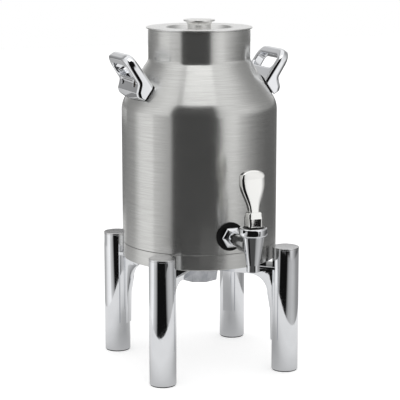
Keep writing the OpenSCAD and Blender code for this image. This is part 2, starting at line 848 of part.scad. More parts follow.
// The drop-shaped grip, as rings of rounded boxes that lean back towards the top
module grip(h) {
    sides = 24;
    rings = 22;
    shares = [for (i = [0 : rings]) min(0.9995, 1 - pow(1 - i / rings, 1.5))];
    points = [for (t = shares, s = [0 : sides - 1])
        let (b = boxy(360 * s / sides), back = (neck_fore + grip_back) * sin(90 * t) - neck_fore)
        [grip_half(t) * b[0], grip_deep(t) * b[1] + back, h * t]];
    walls = [for (i = [0 : rings - 1], s = [0 : sides - 1], half = [0, 1])
        let (a = i * sides + s, b = i * sides + (s + 1) % sides)
        half == 0 ? [a, b + sides, b] : [a, a + sides, b + sides]];
    low_cap = [for (s = [1 : sides - 2]) [0, s, s + 1]];
    last = rings * sides;
    top_cap = [for (s = [1 : sides - 2]) [last, last + s + 1, last + s]];
    polyhedron(points, concat(walls, low_cap, top_cap), convexity = 4);
}

// Side view of the block: its sloping shoulders end at top_half each side of shift
module block_side(half, top_half, shift) {
    polygon([[-half, 0], [half, 0], [half, block_h], [shift + top_half, block_h + block_slope],
             [shift - top_half, block_h + block_slope], [-half, block_h]]);
}

module tap_lever() {
    half = block_w / 2;
    cut = block_chamfer;
    ledge = 0.6;
    color(chrome) translate([0, tap_y, block_z]) difference() {
        union() {
            intersection() {
                rotate([90, 0, 0]) linear_extrude(block_w, center = true)
                    block_side(half, neck_half + ledge, 0);
                rotate([90, 0, 90]) linear_extrude(block_w, center = true)
                    block_side(half, neck_deep + ledge, -neck_fore);
                linear_extrude(big) polygon([[-half + cut, -half], [half - cut, -half],
                    [half, -half + cut], [half, half - cut], [half - cut, half],
                    [-half + cut, half], [-half, half - cut], [-half, -half + cut]]);
            }
            translate([0, 0, block_h + block_slope - 1]) grip(grip_h + 1);
        }
        translate([-slot_half_x, -slot_half_y, -1])
            cube([2 * slot_half_x, 2 * slot_half_y, slot_top + 1]);
        translate([pin_wall - half, 0, pin_up]) rotate([0, 90, 0])
            cylinder(r = pin_r + run_fit, h = block_w);
    }
}

module lever_pin() {
    low = pin_wall - block_w / 2;
    color(satin) translate([low + run_fit, tap_y, pin_z]) rotate([0, 90, 0])
        cylinder(r = pin_r, h = block_w / 2 - low - 0.5);
}

module lid() {
    wall_low = recess_r - recess_in;
    color(satin) rotate_extrude() difference() {
        union() {
            translate([0, lid_z]) square([lid_d / 2, lid_t]);
            polygon([[0, lid_under], [wall_low, lid_under], [recess_r + lid_t, lid_z], [0, lid_z]]);
        }
        polygon([[0, recess_z], [wall_low - 0.5, recess_z], [recess_r, lid_top],
                 [recess_r, lid_top + 1], [0, lid_top + 1]]);
        square([knob_screw_r + slip_fit, big * 2]);
    }
}

module lid_knob() {
    flare = knob_top_r - knob_stem_r;
    under = knob_z - knob_edge;
    color(satin) rotate_extrude() difference() {
        union() {
            translate([0, recess_z]) square([knob_stem_r, knob_z - recess_z]);
            translate([0, under]) square([knob_top_r, knob_edge]);
            difference() {
                translate([0, under - flare]) square([knob_top_r, flare]);
                translate([knob_top_r, under - flare]) circle(r = flare);
            }
        }
        translate([0, knob_z - knob_dish]) square([knob_stem_r, knob_dish + 1]);
        translate([0, recess_z - 1]) square([knob_screw_r, knob_thread + 1]);
    }
}

module knob_screw() {
    head_h = 2.5;
    color(satin) {
        translate([0, 0, lid_under - head_h]) cylinder(r = 2 * knob_screw_r, h = head_h);
        translate([0, 0, lid_under - 1]) cylinder(r = knob_screw_r, h = lid_t + knob_thread);
    }
}

module lid_ring() {
    color(satin) translate([0, 0, lid_z - ring_h]) {
        tube(ring_r, ring_r - ring_t, ring_h);
        tube(mouth_r - 0.6, ring_r - ring_t, ring_t);
    }
}

module lid_gasket() {
    color(silicone) translate([0, 0, lid_z - ring_h + ring_t])
        tube(mouth_r - move_gap, ring_r, gasket_h);
}

module leg_front_left() { color(chrome) leg(front_left); }
module leg_front_right() { color(chrome) leg(front_right); }
module leg_rear_left() { color(chrome) leg(rear_left); }
module leg_rear_right() { color(chrome) leg(rear_right); }
module arm_front_left() { color(chrome) arm(front_left); }
module arm_front_right() { color(chrome) arm(front_right); }
module arm_rear_left() { color(chrome) arm(rear_left); }
module arm_rear_right() { color(chrome) arm(rear_right); }
module handle_right() { color(chrome) handle(); }
module handle_left() { color(chrome) rotate([0, 0, 180]) handle(); }

leg_front_left();
leg_front_right();
leg_rear_left();
leg_rear_right();
arm_front_left();
arm_front_right();
arm_rear_left();
arm_rear_right();
stand_hub();
hub_plug();
hub_screws();
leg_caps();
foot_glides();
rest_pads();
outer_shell();
base_cover();
inner_liner();
cooling_pack();
base_stud();
base_nut();
handle_left();
handle_right();
handle_pads();
handle_screws();
handle_nuts();
tap_sleeve();
outer_washer();
hex_nut();
inner_washer();
back_nut();
tap_body();
tap_collar();
collar_disc();
valve_stem();
seat_cup();
valve_spring();
tap_lever();
lever_pin();
lid();
lid_knob();
knob_screw();
lid_ring();
lid_gasket();
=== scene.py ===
import math

import bmesh
import bpy
import numpy as np
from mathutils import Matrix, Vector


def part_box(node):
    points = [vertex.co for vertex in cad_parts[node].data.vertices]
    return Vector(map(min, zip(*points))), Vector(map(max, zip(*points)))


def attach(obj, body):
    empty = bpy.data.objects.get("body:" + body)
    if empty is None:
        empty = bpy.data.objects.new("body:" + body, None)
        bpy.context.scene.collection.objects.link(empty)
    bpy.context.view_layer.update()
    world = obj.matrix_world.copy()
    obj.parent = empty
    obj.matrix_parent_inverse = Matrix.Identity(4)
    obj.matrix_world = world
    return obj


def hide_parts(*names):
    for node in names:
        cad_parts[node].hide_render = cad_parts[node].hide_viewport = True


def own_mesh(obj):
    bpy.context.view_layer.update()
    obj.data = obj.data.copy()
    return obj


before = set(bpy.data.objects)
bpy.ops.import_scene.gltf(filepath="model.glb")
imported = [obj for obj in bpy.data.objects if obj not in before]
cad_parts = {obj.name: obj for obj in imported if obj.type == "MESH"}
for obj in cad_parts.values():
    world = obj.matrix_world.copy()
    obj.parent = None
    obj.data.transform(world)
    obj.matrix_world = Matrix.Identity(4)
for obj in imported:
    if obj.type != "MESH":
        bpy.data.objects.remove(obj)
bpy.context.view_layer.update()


# ------------------------------
# Legs
# Four upright tubes stand at the corners of a square and carry the tank.
# Each is a length of round tube, polished and plated, with its ends cut square.
# ------------------------------

MM = 0.001
LEG_R = 17.5
LEG_WALL = 2.0
LEG_LOW = 1.5
LEG_HIGH = 165.5
LEG_PLACE = 123.4
TUBE_EDGE = 0.3
NOISE_LOW, NOISE_HIGH = 0.3, 0.7
CORNERS = {"front_left": (-1, -1), "front_right": (1, -1), "rear_left": (-1, 1), "rear_right": (1, 1)}


def leg_centre(corner):
    """The point under a corner's leg: LEG_PLACE out from the middle along the diagonal."""
    return np.array(CORNERS[corner]) * LEG_PLACE / math.sqrt(2)


def rounded(corners, radii, closed=True, turn=15.0, most=0.45):
    """An outline with its corners rounded. The arc at a corner touches both sides and takes at most the share
    most of each, its points lie about turn degrees apart, and one more point on each side, close to the arc,
    keeps that side straight."""
    corners = np.asarray(corners, float)
    last = len(corners) - 1
    outline = []
    for i, (corner, radius) in enumerate(zip(corners, radii)):
        if radius == 0 or (not closed and i in (0, last)):
            outline.append(corner[None])
            continue
        before = corners[i - 1] - corner
        after = corners[(i + 1) % len(corners)] - corner
        long_before, long_after = np.linalg.norm(before), np.linalg.norm(after)
        before, after = before / long_before, after / long_after
        half = math.acos(np.clip(before @ after, -1, 1)) / 2
        reach = min(radius / math.tan(half), most * long_before, most * long_after)
        middle = before + after
        centre = corner + middle / np.linalg.norm(middle) * reach / math.cos(half)
        start, end = corner + before * reach - centre, corner + after * reach - centre
        first = math.atan2(start[1], start[0])
        sweep = (math.atan2(end[1], end[0]) - first + math.pi) % (2 * math.pi) - math.pi
        steps = max(2, math.ceil(abs(sweep) / math.radians(turn)))
        angle = first + sweep * np.linspace(0, 1, steps + 1)
        bend = centre + reach * math.tan(half) * np.stack([np.cos(angle), np.sin(angle)], -1)
        hold = min(0.2, 0.05 * long_before, 0.05 * long_after)
        outline += [(bend[0] + before * hold)[None], bend, (bend[-1] + after * hold)[None]]
    return np.concatenate(outline)


def points_at(x, y, z):
    """Points from their three coordinates, each a number or an array, spread out to one shape."""
    return np.stack(np.broadcast_arrays(x, y, z), -1)


def skin(rings, poles=False):
    """Squares over a grid of points, rings x sides, each ring joined to the next. With poles the first and
    last rings are single points closed by triangles, otherwise the last ring joins the first."""
    rows, sides = rings.shape[:2]
    if poles:
        points = np.concatenate([rings[0, :1], rings[1:-1].reshape(-1, 3), rings[-1, :1]])
        rows -= 2
        base = 1
        i, j = np.meshgrid(np.arange(rows - 1), np.arange(sides), indexing="ij")
    else:
        points = rings.reshape(-1, 3)
        base = 0
        i, j = np.meshgrid(np.arange(rows), np.arange(sides), indexing="ij")
    up, on = (i + 1) % rows, (j + 1) % sides
    squares = base + np.stack([i * sides + j, i * sides + on, up * sides + on, up * sides + j], -1).reshape(-1, 4)
    faces = squares.tolist()
    if poles:
        side = np.arange(sides)
        low = np.stack([np.zeros(sides, int), 1 + (side + 1) % sides, 1 + side], -1)
        top = 1 + (rows - 1) * sides
        high = np.stack([np.full(sides, len(points) - 1), top + side, top + (side + 1) % sides], -1)
        faces += low.tolist() + high.tolist()
    return points, faces


def round_angles(sides):
    """The angles of points spread evenly round a circle, in radians."""
    return 2 * np.pi * np.arange(sides) / sides


def turned(outline, sides=192, centre=(0.0, 0.0)):
    """A surface of revolution about an upright axis through centre: each point of the outline, given as
    distance from the axis and height, is carried round by x = r cos a, y = r sin a."""
    angle = round_angles(sides)
    r, z = outline[:, :1], outline[:, 1:]
    rings = points_at(centre[0] + r * np.cos(angle), centre[1] + r * np.sin(angle), z)
    return skin(rings, poles=outline[0, 0] == 0 and outline[-1, 0] == 0)


def surface_mesh(name, points, faces, material):
    """A smooth mesh with one material from points in metres and faces."""
    mesh = bpy.data.meshes.new(name)
    mesh.from_pydata(points.tolist(), [], faces)
    mesh.polygons.foreach_set("use_smooth", np.ones(len(mesh.polygons), bool))
    mesh.materials.append(material)
    return mesh


def in_scene(name, data):
    """A new object in the scene, at the origin, that shows the given mesh, light or camera."""
    made = bpy.data.objects.new(name, data)
    bpy.context.scene.collection.objects.link(made)
    return made


def piece(name, surface, material, body, stands_for, normals=None):
    """Makes a Blender object from points in millimetres and faces, smooth, in its place in the frame."""
    points, faces = surface
    mesh = surface_mesh(name, points * MM, faces, material)
    if normals is not None:
        mesh.normals_split_custom_set_from_vertices(normals.tolist())
    mesh.update()
    made = in_scene(name, mesh)
    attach(made, body)
    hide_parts(*stands_for)
    return made


def node(tree, kind, *sources, **values):
    """Adds a shader node, links its first inputs to the sources in turn, and sets its own options and the values
    of its inputs, by name or, for those in a dict called at, by number."""
    made = tree.nodes.new(kind)
    for k, value in values.pop("at", {}).items():
        made.inputs[k].default_value = value
    for key, value in values.items():
        if hasattr(made, key):
            setattr(made, key, value)
        else:
            made.inputs[key.replace("_", " ")].default_value = value
    for k, source in enumerate(sources):
        tree.links.new(source, made.inputs[k])
    return made


def drift(tree, noise, low, high):
    """A Map Range from the noise's middle values to low and high."""
    return node(tree, "ShaderNodeMapRange", noise, at={1: NOISE_LOW, 2: NOISE_HIGH, 3: low, 4: high}).outputs[0]


def tint(tree, noise, dark, light):
    """A colour ramp over the noise's middle values."""
    ramp = node(tree, "ShaderNodeValToRGB", noise)
    for element, position, colour in zip(ramp.color_ramp.elements, (NOISE_LOW, NOISE_HIGH), (dark, light)):
        element.position = position
        element.color = (*colour, 1)
    return ramp.outputs[0]


def new_material(name):
    """A new material, its node tree and its shader."""
    made = bpy.data.materials.new(name)
    made.use_nodes = True
    tree = made.node_tree
    shader = next(n for n in tree.nodes if n.type == "BSDF_PRINCIPLED")
    return made, tree, shader


def wear(tree, shader, tinting, roughening, dark, light, rough, bump, depth=0.00002):
    """What keeps a surface from being even: one noise tints it from dark to light, another changes its roughness
    and gives it a low relief, its highest points depth metres above its lowest."""
    tree.links.new(tint(tree, tinting, dark, light), shader.inputs["Base Color"])
    tree.links.new(drift(tree, roughening, *rough), shader.inputs["Roughness"])
    relief = node(tree, "ShaderNodeBump", Strength=bump, Distance=depth)
    tree.links.new(roughening, relief.inputs["Height"])
    tree.links.new(relief.outputs[0], shader.inputs["Normal"])


def cast_metal(name, dark, light, rough, wave, bump, finer=14):
    """Bare metal without a direction: a slow noise tints it, and one that many times finer makes it rougher or
    smoother and gives a very low relief."""
    made, tree, shader = new_material(name)
    place = node(tree, "ShaderNodeTexCoord").outputs["Object"]
    slow = node(tree, "ShaderNodeTexNoise", place, Scale=wave, Detail=3.0).outputs[0]
    fine = node(tree, "ShaderNodeTexNoise", place, Scale=wave * finer, Detail=4.0).outputs[0]
    wear(tree, shader, slow, fine, dark, light, rough, bump)
    shader.inputs["Metallic"].default_value = 1.0
    return made


chrome = cast_metal("chrome", (0.80, 0.81, 0.83), (0.85, 0.86, 0.88), (0.03, 0.07), 35.0, 0.08)

for corner in CORNERS:
    tube = rounded([(LEG_R - LEG_WALL, LEG_LOW), (LEG_R, LEG_LOW), (LEG_R, LEG_HIGH), (LEG_R - LEG_WALL, LEG_HIGH)],
                   [TUBE_EDGE] * 4)
    piece("tube_" + corner, turned(tube, 128, leg_centre(corner)), chrome, "stand", ["leg_" + corner])


# ------------------------------
# Leg caps and glides
# Every tube is closed by a turned steel cap pressed in from above, its rim
# broken by a small chamfer, and stands on a black glide pushed in from below.
# ------------------------------

CAP_TOP = 168.0
CAP_SPIGOT = 10.0
CAP_FIT_R = LEG_R - LEG_WALL - 0.1


def joined(*surfaces):
    """Several closed surfaces as one mesh: their points in a row, with the faces numbered on."""
    points, faces, count = [], [], 0
    for some, theirs in surfaces:
        points.append(some)
        faces += [[count + k for k in face] for face in theirs]
        count += len(some)
    return np.concatenate(points), faces


def moulded(name, dark, light, rough, bump, scale=260.0, shine=0.5):
    """Rubber or plastic: a fine noise tints it, changes its roughness and raises a faint moulded relief."""
    made, tree, shader = new_material(name)
    place = node(tree, "ShaderNodeTexCoord").outputs["Object"]
    noise = node(tree, "ShaderNodeTexNoise", place, Scale=scale, Detail=4.0).outputs[0]
    wear(tree, shader, noise, noise, dark, light, rough, bump, depth=0.0001)
    shader.inputs["Specular IOR Level"].default_value = shine
    return made


def dress(material, *names):
    """Gives a CAD node that stays in view its material, in the object's own slot."""
    for name in names:
        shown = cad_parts[name]
        if not shown.data.materials:
            shown.data.materials.append(None)
        for k in range(len(shown.material_slots)):
            shown.material_slots[k].link = "OBJECT"
            shown.material_slots[k].material = material


satin = cast_metal("satin_steel", (0.72, 0.72, 0.73), (0.77, 0.77, 0.78), (0.10, 0.16), 60.0, 0.15)
black_rubber = moulded("black_rubber", (0.005, 0.005, 0.005), (0.009, 0.009, 0.009), (0.50, 0.65), 0.2, shine=0.12)

caps = []
for corner in CORNERS:
    cap = rounded([(0, LEG_HIGH - CAP_SPIGOT), (CAP_FIT_R, LEG_HIGH - CAP_SPIGOT), (CAP_FIT_R, LEG_HIGH),
                   (LEG_R, LEG_HIGH), (LEG_R, CAP_TOP), (0, CAP_TOP)],
                  [0, 0.5, 0, 0.2, 0.8, 0], closed=False)
    caps.append(turned(cap, 128, leg_centre(corner)))
piece("caps", joined(*caps), satin, "stand", ["leg_caps"])
dress(black_rubber, "foot_glides")


# ------------------------------
# Arms, hub and pads
# Four cast arms run from the legs to an eight-sided hub under the tank, each
# with a flat flange on top; black pads lie on the flanges and carry the tank.
# ------------------------------

HUB_R = 29.0
HUB_LOW = 113.0
HUB_HIGH = 142.0
HUB_BORE = 17.0
HUB_ROOF = 4.0
HUB_DRAFT = 4.0
HUB_HOLE = 3.0
HUB_ROUND_TO_FLAT = 4.0
CAST_EDGE = 0.6
SAME_POINT = 0.000002


def merged_copy(node_name, flat_faces=False):
    """A copy of a CAD node's mesh with its loose triangles merged, and its flat faces joined up if asked."""
    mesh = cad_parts[node_name].data.copy()
    work = bmesh.new()
    work.from_mesh(mesh)
    bmesh.ops.remove_doubles(work, verts=work.verts, dist=SAME_POINT)
    if flat_faces:
        bmesh.ops.dissolve_limit(work, angle_limit=math.radians(0.5), verts=work.verts, edges=work.edges)
    work.to_mesh(mesh)
    work.free()
    return mesh


def dressed_copy(name, node_name, material, body, width):
    """A merged copy of a CAD node's mesh, with every edge broken by a narrow bevel."""
    mesh = merged_copy(node_name, flat_faces=True)
    mesh.name = name
    mesh.polygons.foreach_set("use_smooth", np.ones(len(mesh.polygons), bool))
    mesh.materials.clear()
    mesh.materials.append(material)
    made = in_scene(name, mesh)
    edge = made.modifiers.new("edge", "BEVEL")
    edge.width = width * MM
    edge.segments = 3
    edge.limit_method = "ANGLE"
    edge.angle_limit = math.radians(35)
    edge.harden_normals = True
    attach(made, body)
    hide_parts(node_name)
    return made


def eight_sided(outline, share, sides=192):
    """A surface like a turned one, but its outer rings follow an eight-sided outline with corners on the axes:
    the radius is scaled by cos 22.5 / cos(angle from the middle of a side), for the share given per ring."""
    angle = round_angles(sides)
    off = (angle % (np.pi / 4)) - np.pi / 8
    flat = np.cos(np.pi / 8) / np.cos(off)
    r = outline[:, :1] * (1 + share[:, None] * (flat - 1))
    return skin(points_at(r * np.cos(angle), r * np.sin(angle), outline[:, 1:]))


for corner in CORNERS:
    dressed_copy("cast_" + corner, "arm_" + corner, chrome, "stand", CAST_EDGE)
boss = rounded([(HUB_BORE, HUB_LOW), (HUB_R - HUB_DRAFT, HUB_LOW), (HUB_R, HUB_HIGH), (HUB_HOLE, HUB_HIGH),
                (HUB_HOLE, HUB_HIGH - HUB_ROOF), (HUB_BORE, HUB_HIGH - HUB_ROOF)], [0.4, 1.2, 0.8, 0.5, 0.5, 1.0])
# Painted shade: the hub's chrome is a darker copy of the arms' chrome, standing in for the shade under the tank.
shaded_hub_chrome = cast_metal("shaded_hub_chrome", (0.33, 0.34, 0.36), (0.50, 0.51, 0.53), (0.06, 0.14), 70.0, 0.3)
flat_share = np.clip((boss[:, 0] - HUB_BORE) / HUB_ROUND_TO_FLAT, 0, 1)
piece("hub_casting", eight_sided(boss, flat_share), shaded_hub_chrome, "stand", ["stand_hub"])
dress(chrome, "hub_plug")
dress(satin, "hub_screws")
dress(black_rubber, "rest_pads")


# ------------------------------
# Outer shell
# The milk can's outside: body, shoulder and neck drawn and welded as one from
# sheet steel, brushed round the axis, with its lower edge turned clean.
# ------------------------------

TANK_R = 103.0
NECK_R = 67.3
SHELL_LOW = 168.6
SHOULDER_Z = 354.4
SHOULDER_SLOPE = math.radians(57.6)
NECK_Z = SHOULDER_Z + (TANK_R - NECK_R) * math.tan(SHOULDER_SLOPE)
MOUTH_Z = NECK_Z + 41.0
SHELL_HIGH = MOUTH_Z - 1.2
BODY_BEND = 33.0
NECK_BEND = 9.0
SHELL_T = 1.0
SHELL_EDGE = 0.35
LINE_GRAIN, STREAK_GRAIN = (0.012, 2600.0), (0.02, 1400.0)


def can_wall(inset, low, high, edge):
    """Corners and radii of the can's outline from low to high, moved in by inset: wall, shoulder, neck."""
    drop = inset * math.tan((math.pi / 2 - SHOULDER_SLOPE) / 2)
    corners = [(TANK_R - inset, low), (TANK_R - inset, SHOULDER_Z - drop),
               (NECK_R - inset, NECK_Z - drop), (NECK_R - inset, high)]
    return corners, [edge, BODY_BEND - inset, NECK_BEND + inset, edge]


def turned_metal(name, dark, light, rough, bump, across=0.0, haze=0.0):
    """Metal brushed or turned round an upright axis: the noise is drawn out round the axis and close along
    the outline (x and y scaled little, height less radius scaled a lot). A fine grain roughens the metal and
    gives it relief, a broader one tints it. across is how much more the surface spreads a reflection across
    the grain than along it, haze the share that it scatters evenly."""
    made, tree, shader = new_material(name)
    place = node(tree, "ShaderNodeTexCoord").outputs["Object"]
    flat = node(tree, "ShaderNodeVectorMath", place, operation="MULTIPLY", at={1: (1, 1, 0)}).outputs[0]
    radius = node(tree, "ShaderNodeVectorMath", flat, operation="LENGTH").outputs["Value"]
    x, y, z = node(tree, "ShaderNodeSeparateXYZ", place).outputs
    run = node(tree, "ShaderNodeMath", z, radius, operation="SUBTRACT").outputs[0]
    lines = node(tree, "ShaderNodeCombineXYZ", x, y, run).outputs[0]
    grains = []
    for drawn_out, scale in (LINE_GRAIN, STREAK_GRAIN):
        drawn = node(tree, "ShaderNodeVectorMath", lines, operation="MULTIPLY", at={1: (drawn_out, drawn_out, 1.0)})
        grains.append(node(tree, "ShaderNodeTexNoise", drawn.outputs[0], Scale=scale, Detail=2.0).outputs[0])
    wear(tree, shader, grains[1], grains[0], dark, light, rough, bump)
    if across:
        round_axis = node(tree, "ShaderNodeVectorMath", flat, operation="CROSS_PRODUCT", at={1: (0, 0, 1)})
        tangent = node(tree, "ShaderNodeVectorMath", round_axis.outputs[0], operation="NORMALIZE")
        tree.links.new(tangent.outputs[0], shader.inputs["Tangent"])
        shader.inputs["Anisotropic"].default_value = across
        shader.inputs["Anisotropic Rotation"].default_value = 0.25
    shader.inputs["Metallic"].default_value = 1.0 - haze
    return made


brushed = turned_metal("brushed_steel", (0.575, 0.575, 0.56), (0.665, 0.665, 0.65), (0.19, 0.27), 0.3, across=0.7,
                       haze=0.085)

outside, outside_bends = can_wall(0, SHELL_LOW, SHELL_HIGH, SHELL_EDGE)
inside, inside_bends = can_wall(SHELL_T, SHELL_LOW, SHELL_HIGH, SHELL_EDGE)
shell = rounded(outside + inside[::-1], outside_bends + inside_bends[::-1], turn=3.0)
piece("can", turned(shell, 288), brushed, "tank", ["outer_shell"])


# ------------------------------
# Base cover, stud and nut
# A shallow pressed steel base pushed up into the shell, so that a fine seam
# stays round the can; a stud and a nut in a cup underneath hold it.
# ------------------------------

BASE_LOW = 148.0
SEAM_Z = 168.0
CUP_R = 16.0
CUP_H = 7.0
PAN_T = 2.0
PAN_IN = TANK_R - PAN_T
LAP_R, LAP_H = 101.9, 8.0
STUD_HOLE = 3.1

base = rounded([(STUD_HOLE, BASE_LOW + CUP_H), (CUP_R, BASE_LOW + CUP_H), (CUP_R, BASE_LOW), (TANK_R, BASE_LOW),
                (TANK_R, SEAM_Z), (LAP_R, SEAM_Z), (LAP_R, SEAM_Z + LAP_H), (PAN_IN, SEAM_Z + LAP_H),
                (PAN_IN, BASE_LOW + PAN_T), (CUP_R + PAN_T, BASE_LOW + PAN_T),
                (CUP_R + PAN_T, BASE_LOW + CUP_H + PAN_T), (STUD_HOLE, BASE_LOW + CUP_H + PAN_T)],
               [0.2, 0.6, 0.8, 1.0, 0.35, 0, 0.2, 0.2, 0.8, 0.5, 1.0, 0.2])
piece("base_pan", turned(base, 288), brushed, "tank", ["base_cover"])
dress(satin, "base_stud", "base_nut")


# ------------------------------
# Inner liner and cooling pack
# The liner holds the milk: spun from thin steel, rolled out at the mouth so
# that it sits on the shell's rim; under it a flat blue pack keeps it cold.
# ------------------------------

LINER_LOW = 171.0
LINER_GAP, LINER_T = 8.0, 0.8
liner_out, liner_out_bends = can_wall(LINER_GAP, LINER_LOW, SHELL_HIGH, 0)
liner_in, liner_in_bends = can_wall(LINER_GAP + LINER_T, LINER_LOW + LINER_T, MOUTH_Z, 1.0)
liner = rounded([(0, LINER_LOW)] + liner_out + [(NECK_R, SHELL_HIGH), (NECK_R, MOUTH_Z)] + liner_in[::-1]
                + [(0, LINER_LOW + LINER_T)],
                [0, 1.8] + liner_out_bends[1:] + [0.4, 0.5] + liner_in_bends[::-1] + [0], closed=False, turn=4.0)
spun = turned_metal("spun_steel", (0.66, 0.66, 0.65), (0.74, 0.74, 0.73), (0.22, 0.30), 0.2, across=0.5)
ice = moulded("ice_pack", (0.40, 0.60, 0.78), (0.55, 0.72, 0.85), (0.2, 0.35), 0.4, scale=90.0)
piece("liner", turned(liner, 256), spun, "tank", ["inner_liner"])
dress(ice, "cooling_pack")


# ------------------------------
# Handles
# Two cast loop handles, polished and plated: a leaning strap with a window,
# its foot flared over the shoulder and screwed on through a black pad.
# ------------------------------

LEAN = math.radians(34.5)
STRAP_X, STRAP_Z = TANK_R - 24.8, SHOULDER_Z + 27.3
HANDLE_HALF = 39.0
FRONT_HALF = 60.0
GRIP_RISE = 47.0
STRAP_T, STRAP_ROOT_T = 13.4, 15.6
STRAP_TOP_R = STRAP_T / 2
STRAP_CORNER = 20.0
STRAP_ROOT = 30.0
CHEEK, CHEEK_R = 9.0, 5.4
WINDOW_LOW, WINDOW_HIGH, WINDOW_CORNER = 21.0, GRIP_RISE - STRAP_TOP_R, 7.0
WINDOW_EDGE, FLARE_EDGE, PAD_EDGE, SEAT_EDGE = 2.6, 1.2, 0.8, 0.5
NOSE_OUT, NOSE_UP, NOSE_R = 10.6, 6.8, 3.2
THROAT_UP, THROAT_R = 15.0, 6.0
FOOT_LEAN = math.radians(20)
FLARE_R, FLARE_Z, FLARE_SLOPE = TANK_R - 3.7, SHOULDER_Z + 9.6, math.radians(30)
PAD_T = 1.5
SCREW_TURN = math.radians(12.3)
SCREW_UP, SCREW_SEAT, SCREW_HEAD_R, SCREW_R, SCREW_GAP = 26.0, 5.0, 3.8, 2.5, 0.1
CLEAR_LOW, CLEAR_HIGH = 250.0, 480.0
HANDLE_CELL = 0.9


def from_outline(u, v, outline):
    """Signed distance of points (u, v) from a closed outline, below zero inside: the least distance to any of
    its segments, with the sign from how many segments a line from the point crosses."""
    here = np.stack([u, v], -1)[:, None, :]
    start, along = outline[None], (np.roll(outline, -1, 0) - outline)[None]
    to = here - start
    share = np.clip((to * along).sum(-1) / (along ** 2).sum(-1), 0, 1)
    near = np.sqrt((((to - share[..., None] * along)) ** 2).sum(-1).min(1))
    end = start + along
    straddles = (start[..., 1] > here[..., 1]) != (end[..., 1] > here[..., 1])
    rise = np.where(along[..., 1] == 0, 1, along[..., 1])
    crosses = straddles & (here[..., 0] < start[..., 0] + to[..., 1] / rise * along[..., 0])
    return np.where(crosses.sum(1) % 2 == 1, -near, near)


def both(a, b, radius):
    """Inside a and inside b, with their common edge rounded: where both are nearer than radius, the distance
    is that from a circle of that radius."""
    return np.minimum(np.maximum(a, b), -radius) + np.hypot(np.maximum(a + radius, 0), np.maximum(b + radius, 0))


def round_box(u, v, half_u, half_v, radius):
    """Signed distance from a rectangle with round corners, centred on zero."""
    du, dv = np.abs(u) - half_u + radius, np.abs(v) - half_v + radius
    return np.hypot(np.maximum(du, 0), np.maximum(dv, 0)) + np.minimum(np.maximum(du, dv), 0) - radius


def small_squares(node_name, cell):
    """Points in millimetres and squares of a merged copy of a CAD node's mesh, cut again into cells."""
    rough = in_scene("rough", merged_copy(node_name))
    cut = rough.modifiers.new("cut", "REMESH")
    cut.mode = "VOXEL"
    cut.voxel_size = cell * MM
    fine = bpy.data.meshes.new_from_object(rough.evaluated_get(bpy.context.evaluated_depsgraph_get()))
    bpy.data.objects.remove(rough)
    points = np.zeros(len(fine.vertices) * 3)
    fine.vertices.foreach_get("co", points)
    squares = np.zeros(len(fine.loops), np.int64)
    fine.loops.foreach_get("vertex_index", squares)
    return points.reshape(-1, 3) / MM, squares.reshape(-1, 4)


def settled(points, squares, distance, rounds=7, last_rounds=3, pull=0.45, stride=0.9, flattest=0.3, small=0.01):
    """Carries the points onto the surface where distance is zero. A round draws each point towards the mean of
    its neighbours, by the share pull, and then moves it along the slope of distance, by distance over the slope
    squared, at most stride. The last rounds only do the second. Returns the points, the faces and the unit
    slopes, which are the normals."""
    one, two = squares.ravel(), np.roll(squares, -1, 1).ravel()
    count = len(points)
    many = (np.bincount(one, minlength=count) + np.bincount(two, minlength=count))[:, None]
    for k in range(rounds + last_rounds):
        if k < rounds:
            mean = np.stack([np.bincount(one, points[two, c], count) + np.bincount(two, points[one, c], count)
                             for c in range(3)], -1) / many
            points = points + pull * (mean - points)
        here = distance(points)
        slope = np.stack([distance(points + small * way) - here for way in np.eye(3)], -1) / small
        steep = np.maximum((slope ** 2).sum(-1), flattest)
        points = points - np.clip(here / steep, -stride, stride)[:, None] * slope
    normals = slope / np.maximum(np.linalg.norm(slope, axis=1), 1e-9)[:, None]
    return points, squares.tolist(), normals


throat_t = STRAP_ROOT_T - (STRAP_ROOT_T - STRAP_T) * THROAT_UP / GRIP_RISE
nose_t = STRAP_T + NOSE_OUT
strap_side = rounded([(0, -STRAP_ROOT), (nose_t + (NOSE_UP + STRAP_ROOT) * math.tan(FOOT_LEAN), -STRAP_ROOT),
                      (nose_t, NOSE_UP), (throat_t, THROAT_UP), (STRAP_T, GRIP_RISE),
                      (STRAP_T, GRIP_RISE + STRAP_TOP_R), (0, GRIP_RISE + STRAP_TOP_R)],
                     [0, 0, NOSE_R, THROAT_R, 0, STRAP_TOP_R, STRAP_TOP_R], turn=4.0)
clear_wall, clear_bends = can_wall(-PAD_T, CLEAR_LOW, CLEAR_HIGH, 0)
can_outline = rounded([(0, CLEAR_LOW)] + clear_wall + [(0, CLEAR_HIGH)], [0] + clear_bends + [0], turn=2.0)


